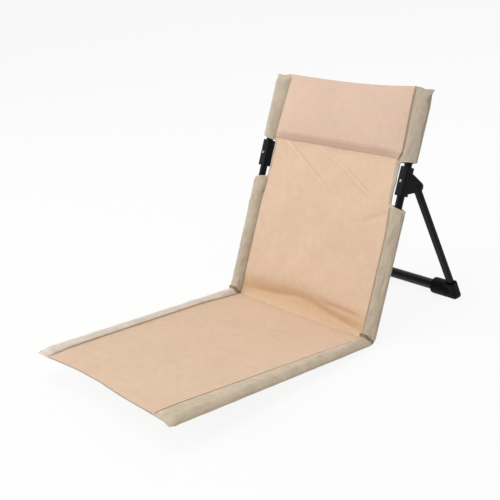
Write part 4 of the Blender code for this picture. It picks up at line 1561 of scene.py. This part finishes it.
@dataclass
class CutEdge:
    """The turned khaki edge along the canvas beside a bracket."""

    canvas: Canvas
    side: Side
    below: float = 6 * MM
    above: float = 5 * MM
    proud: float = 2.6 * MM
    half: float = 1.3 * MM
    waver: float = 0.5 * MM
    uneven: float = 0.25 * MM
    rows: int = 48
    around: int = 24

    def build(self) -> list[Piece]:
        """Return the edge, a flat loop round the canvas edge along the cut-out, and a dark line on its rim
        that paints the edge's shadow.
        """
        canvas, form, label = self.canvas, FORMS[self.side], self.side.label
        low, high = canvas.cut_low - self.below, canvas.cut_high + self.above
        t = np.linspace(low, high, self.rows)[:, None]
        turn = turns(self.around)[None, :]
        across = np.sign(np.cos(turn)) * np.abs(np.cos(turn)) ** 0.7
        width = mix(form.edge_narrow, form.edge_wide, (t - low) / (high - low))
        edge = canvas.half_width(t, self.side.value) + self.proud - width / 2
        ends = np.clip(np.minimum(t - low, high - t) / (3 * MM), 0.05, 1)
        waver = self.waver * ripple(t, 0.0 * t, 33 + self.side.value, 34 * MM, 5)
        x = self.side.value * (edge + across * width / 2 + waver)
        n = self.half * np.sin(turn) * ends + self.uneven * ripple(t, 0.0 * t, 31, 30 * MM)
        points = capped(canvas.chair.back.place(x, n, t))
        piece = grid_piece(f"cut_edge_{label}", points, wrap=True, merge=TIP_MERGE)
        dress(piece, canvas.finishes.khaki, Body.BACK)
        # Painted shadow: a dark line along the rim of the cut edge.
        path = flat_path(points[2:-2, 0], canvas.chair.back.facing, lift=0.0)
        thread = EDGE_SHADOW_LINE.row(f"cut_edge_thread_{label}", [path])
        dress(thread, canvas.finishes.painted_shadow_thread, Body.BACK)
        return [piece, thread]


@dataclass
class RivetRim:
    """The rolled rim of the hollow rivet on a bracket's front."""

    canvas: Canvas
    side: Side
    height: float = 331 * MM
    face: float = 12.0 * MM
    ring: float = 2.4 * MM
    wire: float = 0.5 * MM
    steps: int = 28
    around: int = 12

    def build(self) -> Piece:
        """Return a ring of round section that lies on the rivet's head."""
        chair = self.canvas.chair
        turn = turns(self.steps)[:, None]
        section = turns(self.around)[None, :]
        reach = self.ring + self.wire * np.cos(section)
        x = self.side.value * chair.pole_x + reach * np.cos(turn)
        n = self.face + self.wire * np.sin(section)
        points = chair.back.place(x, n, self.height + reach * np.sin(turn))
        points = np.concatenate((points, points[:1]))
        piece = grid_piece(f"rivet_rim_{self.side.label}", points, wrap=True, merge=TUBE_MERGE)
        return dress(piece, self.canvas.finishes.rim, Body.BACK)


@dataclass
class Hardware:
    """The steel and plastic parts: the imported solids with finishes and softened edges."""

    nodes: dict[str, Piece]
    weld: float = 0.01 * MM
    edge: float = 1.1 * MM
    sharp: float = math.radians(32)

    STEEL = ("back_pole", "seat_pole", "stand_strut", "stand_pivot_pin")
    TUBE = ("stand_cross_tube",)
    HIDDEN = ("back_pole_cap", "seat_pole_cap", "back_knuckle", "seat_knuckle")
    MOULDED = ("stand_bracket", "stand_foot")
    BRIGHT = ("hinge_pin",)
    DULL = ("bracket_rivet",)

    def group(self, names: tuple[str, ...]) -> list[Piece]:
        """Return the nodes with these names, on both sides."""
        wanted = {f"{name}{end}" for name in names for end in ("", "_left", "_right")}
        return [node for name, node in sorted(self.nodes.items()) if name in wanted]

    def dress(self, finishes: Finishes) -> None:
        """Give each node its finish and round the edges of the moulded parts."""
        for names, material in (
            (self.STEEL, finishes.steel),
            (self.TUBE, finishes.tube),
            (self.HIDDEN + self.MOULDED, finishes.plastic),
            (self.BRIGHT, finishes.bright),
            (self.DULL, finishes.rivet),
        ):
            for node in self.group(names):
                node.data.materials.clear()
                node.data.materials.append(material)
                LOG.info("node %s: %s", node.name, material.name)
        for node in self.group(self.MOULDED):
            weld = node.modifiers.new("weld", "WELD")
            weld.merge_threshold = self.weld
            round_off = node.modifiers.new("edges", "BEVEL")
            round_off.width = self.edge
            round_off.segments = 3
            round_off.limit_method = "ANGLE"
            round_off.angle_limit = self.sharp
            round_off.harden_normals = True


@dataclass(frozen=True)
class Lamp:
    """A square area lamp that faces the middle of the chair."""

    name: str
    place: Triple
    size: float
    power: float
    target: Triple = (0.0, 0.0, 0.2)

    def build(self) -> None:
        """Add the lamp."""
        data = bpy.data.lights.new(self.name, "AREA")
        data.shape = "SQUARE"
        data.size = self.size
        data.energy = self.power
        lamp = add_object(self.name, data)
        lamp.location = self.place
        lamp.rotation_mode = "QUATERNION"
        lamp.rotation_quaternion = (Vector(self.target) - Vector(self.place)).to_track_quat("-Z", "Y")


@dataclass
class Studio:
    """Pale floor, soft light from the front left and above, and the camera of the photograph."""

    chair: ChairFrame
    lens_pixels: float = 1021.686
    frame_pixels: float = 500.0
    azimuth: float = 52.1255
    elevation: float = 21.5177
    roll: float = -7.3798
    offset: Triple = (1.548467, -1.311183, 0.963291)
    floor_reach: float = 30.0
    floor_at: float = -0.4 * MM
    floor_glow: float = 0.9

    LAMPS = (
        Lamp("key", (-2.3, -2.0, 1.5), 1.3, 42.0),
        Lamp("top", (0.0, -0.5, 3.0), 2.0, 37.0),
        Lamp("fill", (2.4, -1.2, 1.4), 1.6, 3.0),
        Lamp("rear", (-0.6, 2.2, 2.1), 1.6, 7.0),
    )

    def camera(self) -> None:
        """Place the camera, given by its view angles, its roll and its offset from the corner point."""
        a, e, r = (math.radians(v) for v in (self.azimuth, self.elevation, self.roll))
        back = Vector((math.sin(a) * math.cos(e), -math.cos(a) * math.cos(e), math.sin(e)))
        level = Vector((math.cos(a), math.sin(a), 0.0))
        rise = back.cross(level)
        right = math.cos(r) * level + math.sin(r) * rise
        up = math.cos(r) * rise - math.sin(r) * level
        data = bpy.data.cameras.new("camera")
        data.sensor_width = 36.0
        data.lens = self.lens_pixels / self.frame_pixels * data.sensor_width
        data.clip_start, data.clip_end = 0.05, 50.0
        camera = add_object("camera", data)
        place = Vector(self.offset) + Vector(self.chair.corner)
        turned = Matrix((right, up, back)).transposed().to_4x4()
        camera.matrix_world = Matrix.Translation(place) @ turned
        bpy.context.scene.camera = camera

    def world(self) -> None:
        """Light softly from all round, with an even pale grey where the camera and mirrors look."""
        world = bpy.data.worlds.new("studio")
        world.use_nodes = True
        bpy.context.scene.world = world
        nodes = Nodes(world.node_tree)
        nodes.tree.nodes.clear()
        seen = nodes.ray("Camera").largest(nodes.ray("Glossy").largest(nodes.ray("Transmission")))
        soft = nodes.add("Background", {"Color": (1.0, 0.985, 0.965, 1.0), "Strength": 0.45})
        pale = nodes.add("Background", {"Strength": 1.0})
        chosen = nodes.add("MixShader", {0: seen, 1: soft, 2: pale})
        output = nodes.tree.nodes.new("ShaderNodeOutputWorld")
        nodes.feed(output.inputs["Surface"], chosen)

    def floor(self) -> None:
        """Lay a pale floor that the camera sees almost white, with a faint shadow of the chair."""
        span = np.linspace(-self.floor_reach, self.floor_reach, 3)
        x, y = np.meshgrid(span, span)
        floor = grid_piece("floor", np.stack((x, y, np.full_like(x, self.floor_at)), axis=-1))
        shader = Shader("floor_pale")
        shader.set(Base_Color=(0.86, 0.86, 0.86, 1.0), Roughness=0.9, Specular_IOR_Level=0.0)
        glow = shader.add("Emission", {"Color": (1.0, 1.0, 1.0, 1.0), "Strength": 1.0})
        part = shader.ray("Camera") * self.floor_glow + shader.ray("Glossy") + shader.ray("Transmission")
        plain = Value(shader, shader.surface.outputs[0])
        blend = shader.add("MixShader", {0: part.clip(), 1: plain, 2: glow})
        shader.feed(shader.tree.nodes["Material Output"].inputs["Surface"], blend)
        floor.data.materials.append(shader.material)

    def build(self) -> None:
        """Set up the whole studio."""
        bpy.context.scene.view_settings.view_transform = "Standard"
        self.camera()
        for lamp in self.LAMPS:
            lamp.build()
        self.world()
        self.floor()


def clear_scene() -> None:
    """Remove what the default file holds."""
    for item in list(bpy.data.objects):
        bpy.data.objects.remove(item, do_unlink=True)


def main() -> None:
    """Build the chair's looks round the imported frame."""
    logging.basicConfig(level=logging.INFO, format="%(name)s: %(message)s")
    clear_scene()
    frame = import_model()
    joint = next(j for j in frame["joints"] if j["name"] == "seat_fold")
    chair = ChairFrame(hinge=(joint["pos_m"][1], joint["pos_m"][2]))
    finishes = Finishes(chair)
    Studio(chair).build()
    Hardware(frame["nodes"]).dress(finishes)

    seams = SeamPlan()
    canvas = Canvas(chair, seams, finishes)
    cloth = canvas.build()
    headrest = Headrest(canvas)
    cover = headrest.build()
    cover_stitches = headrest.stitches()
    trims = [canvas.front_edge()]
    for side in Side:
        form = FORMS[side]
        section = SleeveSection(half=form.half)
        long_sleeve = SideSleeve(chair, seams, finishes, side, section, cover=form.cover)
        short_sleeve = UpperSleeve(chair, seams, finishes, side, SleeveSection())
        trims += [long_sleeve.build(), *long_sleeve.stitches()]
        trims += [short_sleeve.build(), *short_sleeve.stitches()]
        trims += [long_sleeve.bartacks(), long_sleeve.mouth_hem()]
        trims += [short_sleeve.mouth_hem(), long_sleeve.seat_piping()]
        trims += CutEdge(canvas, side).build()
        RivetRim(canvas, side).build()
    chair.bend(cloth)
    canvas.flat_size()
    canvas.flat_area()


if __name__ == "__main__":
    main()
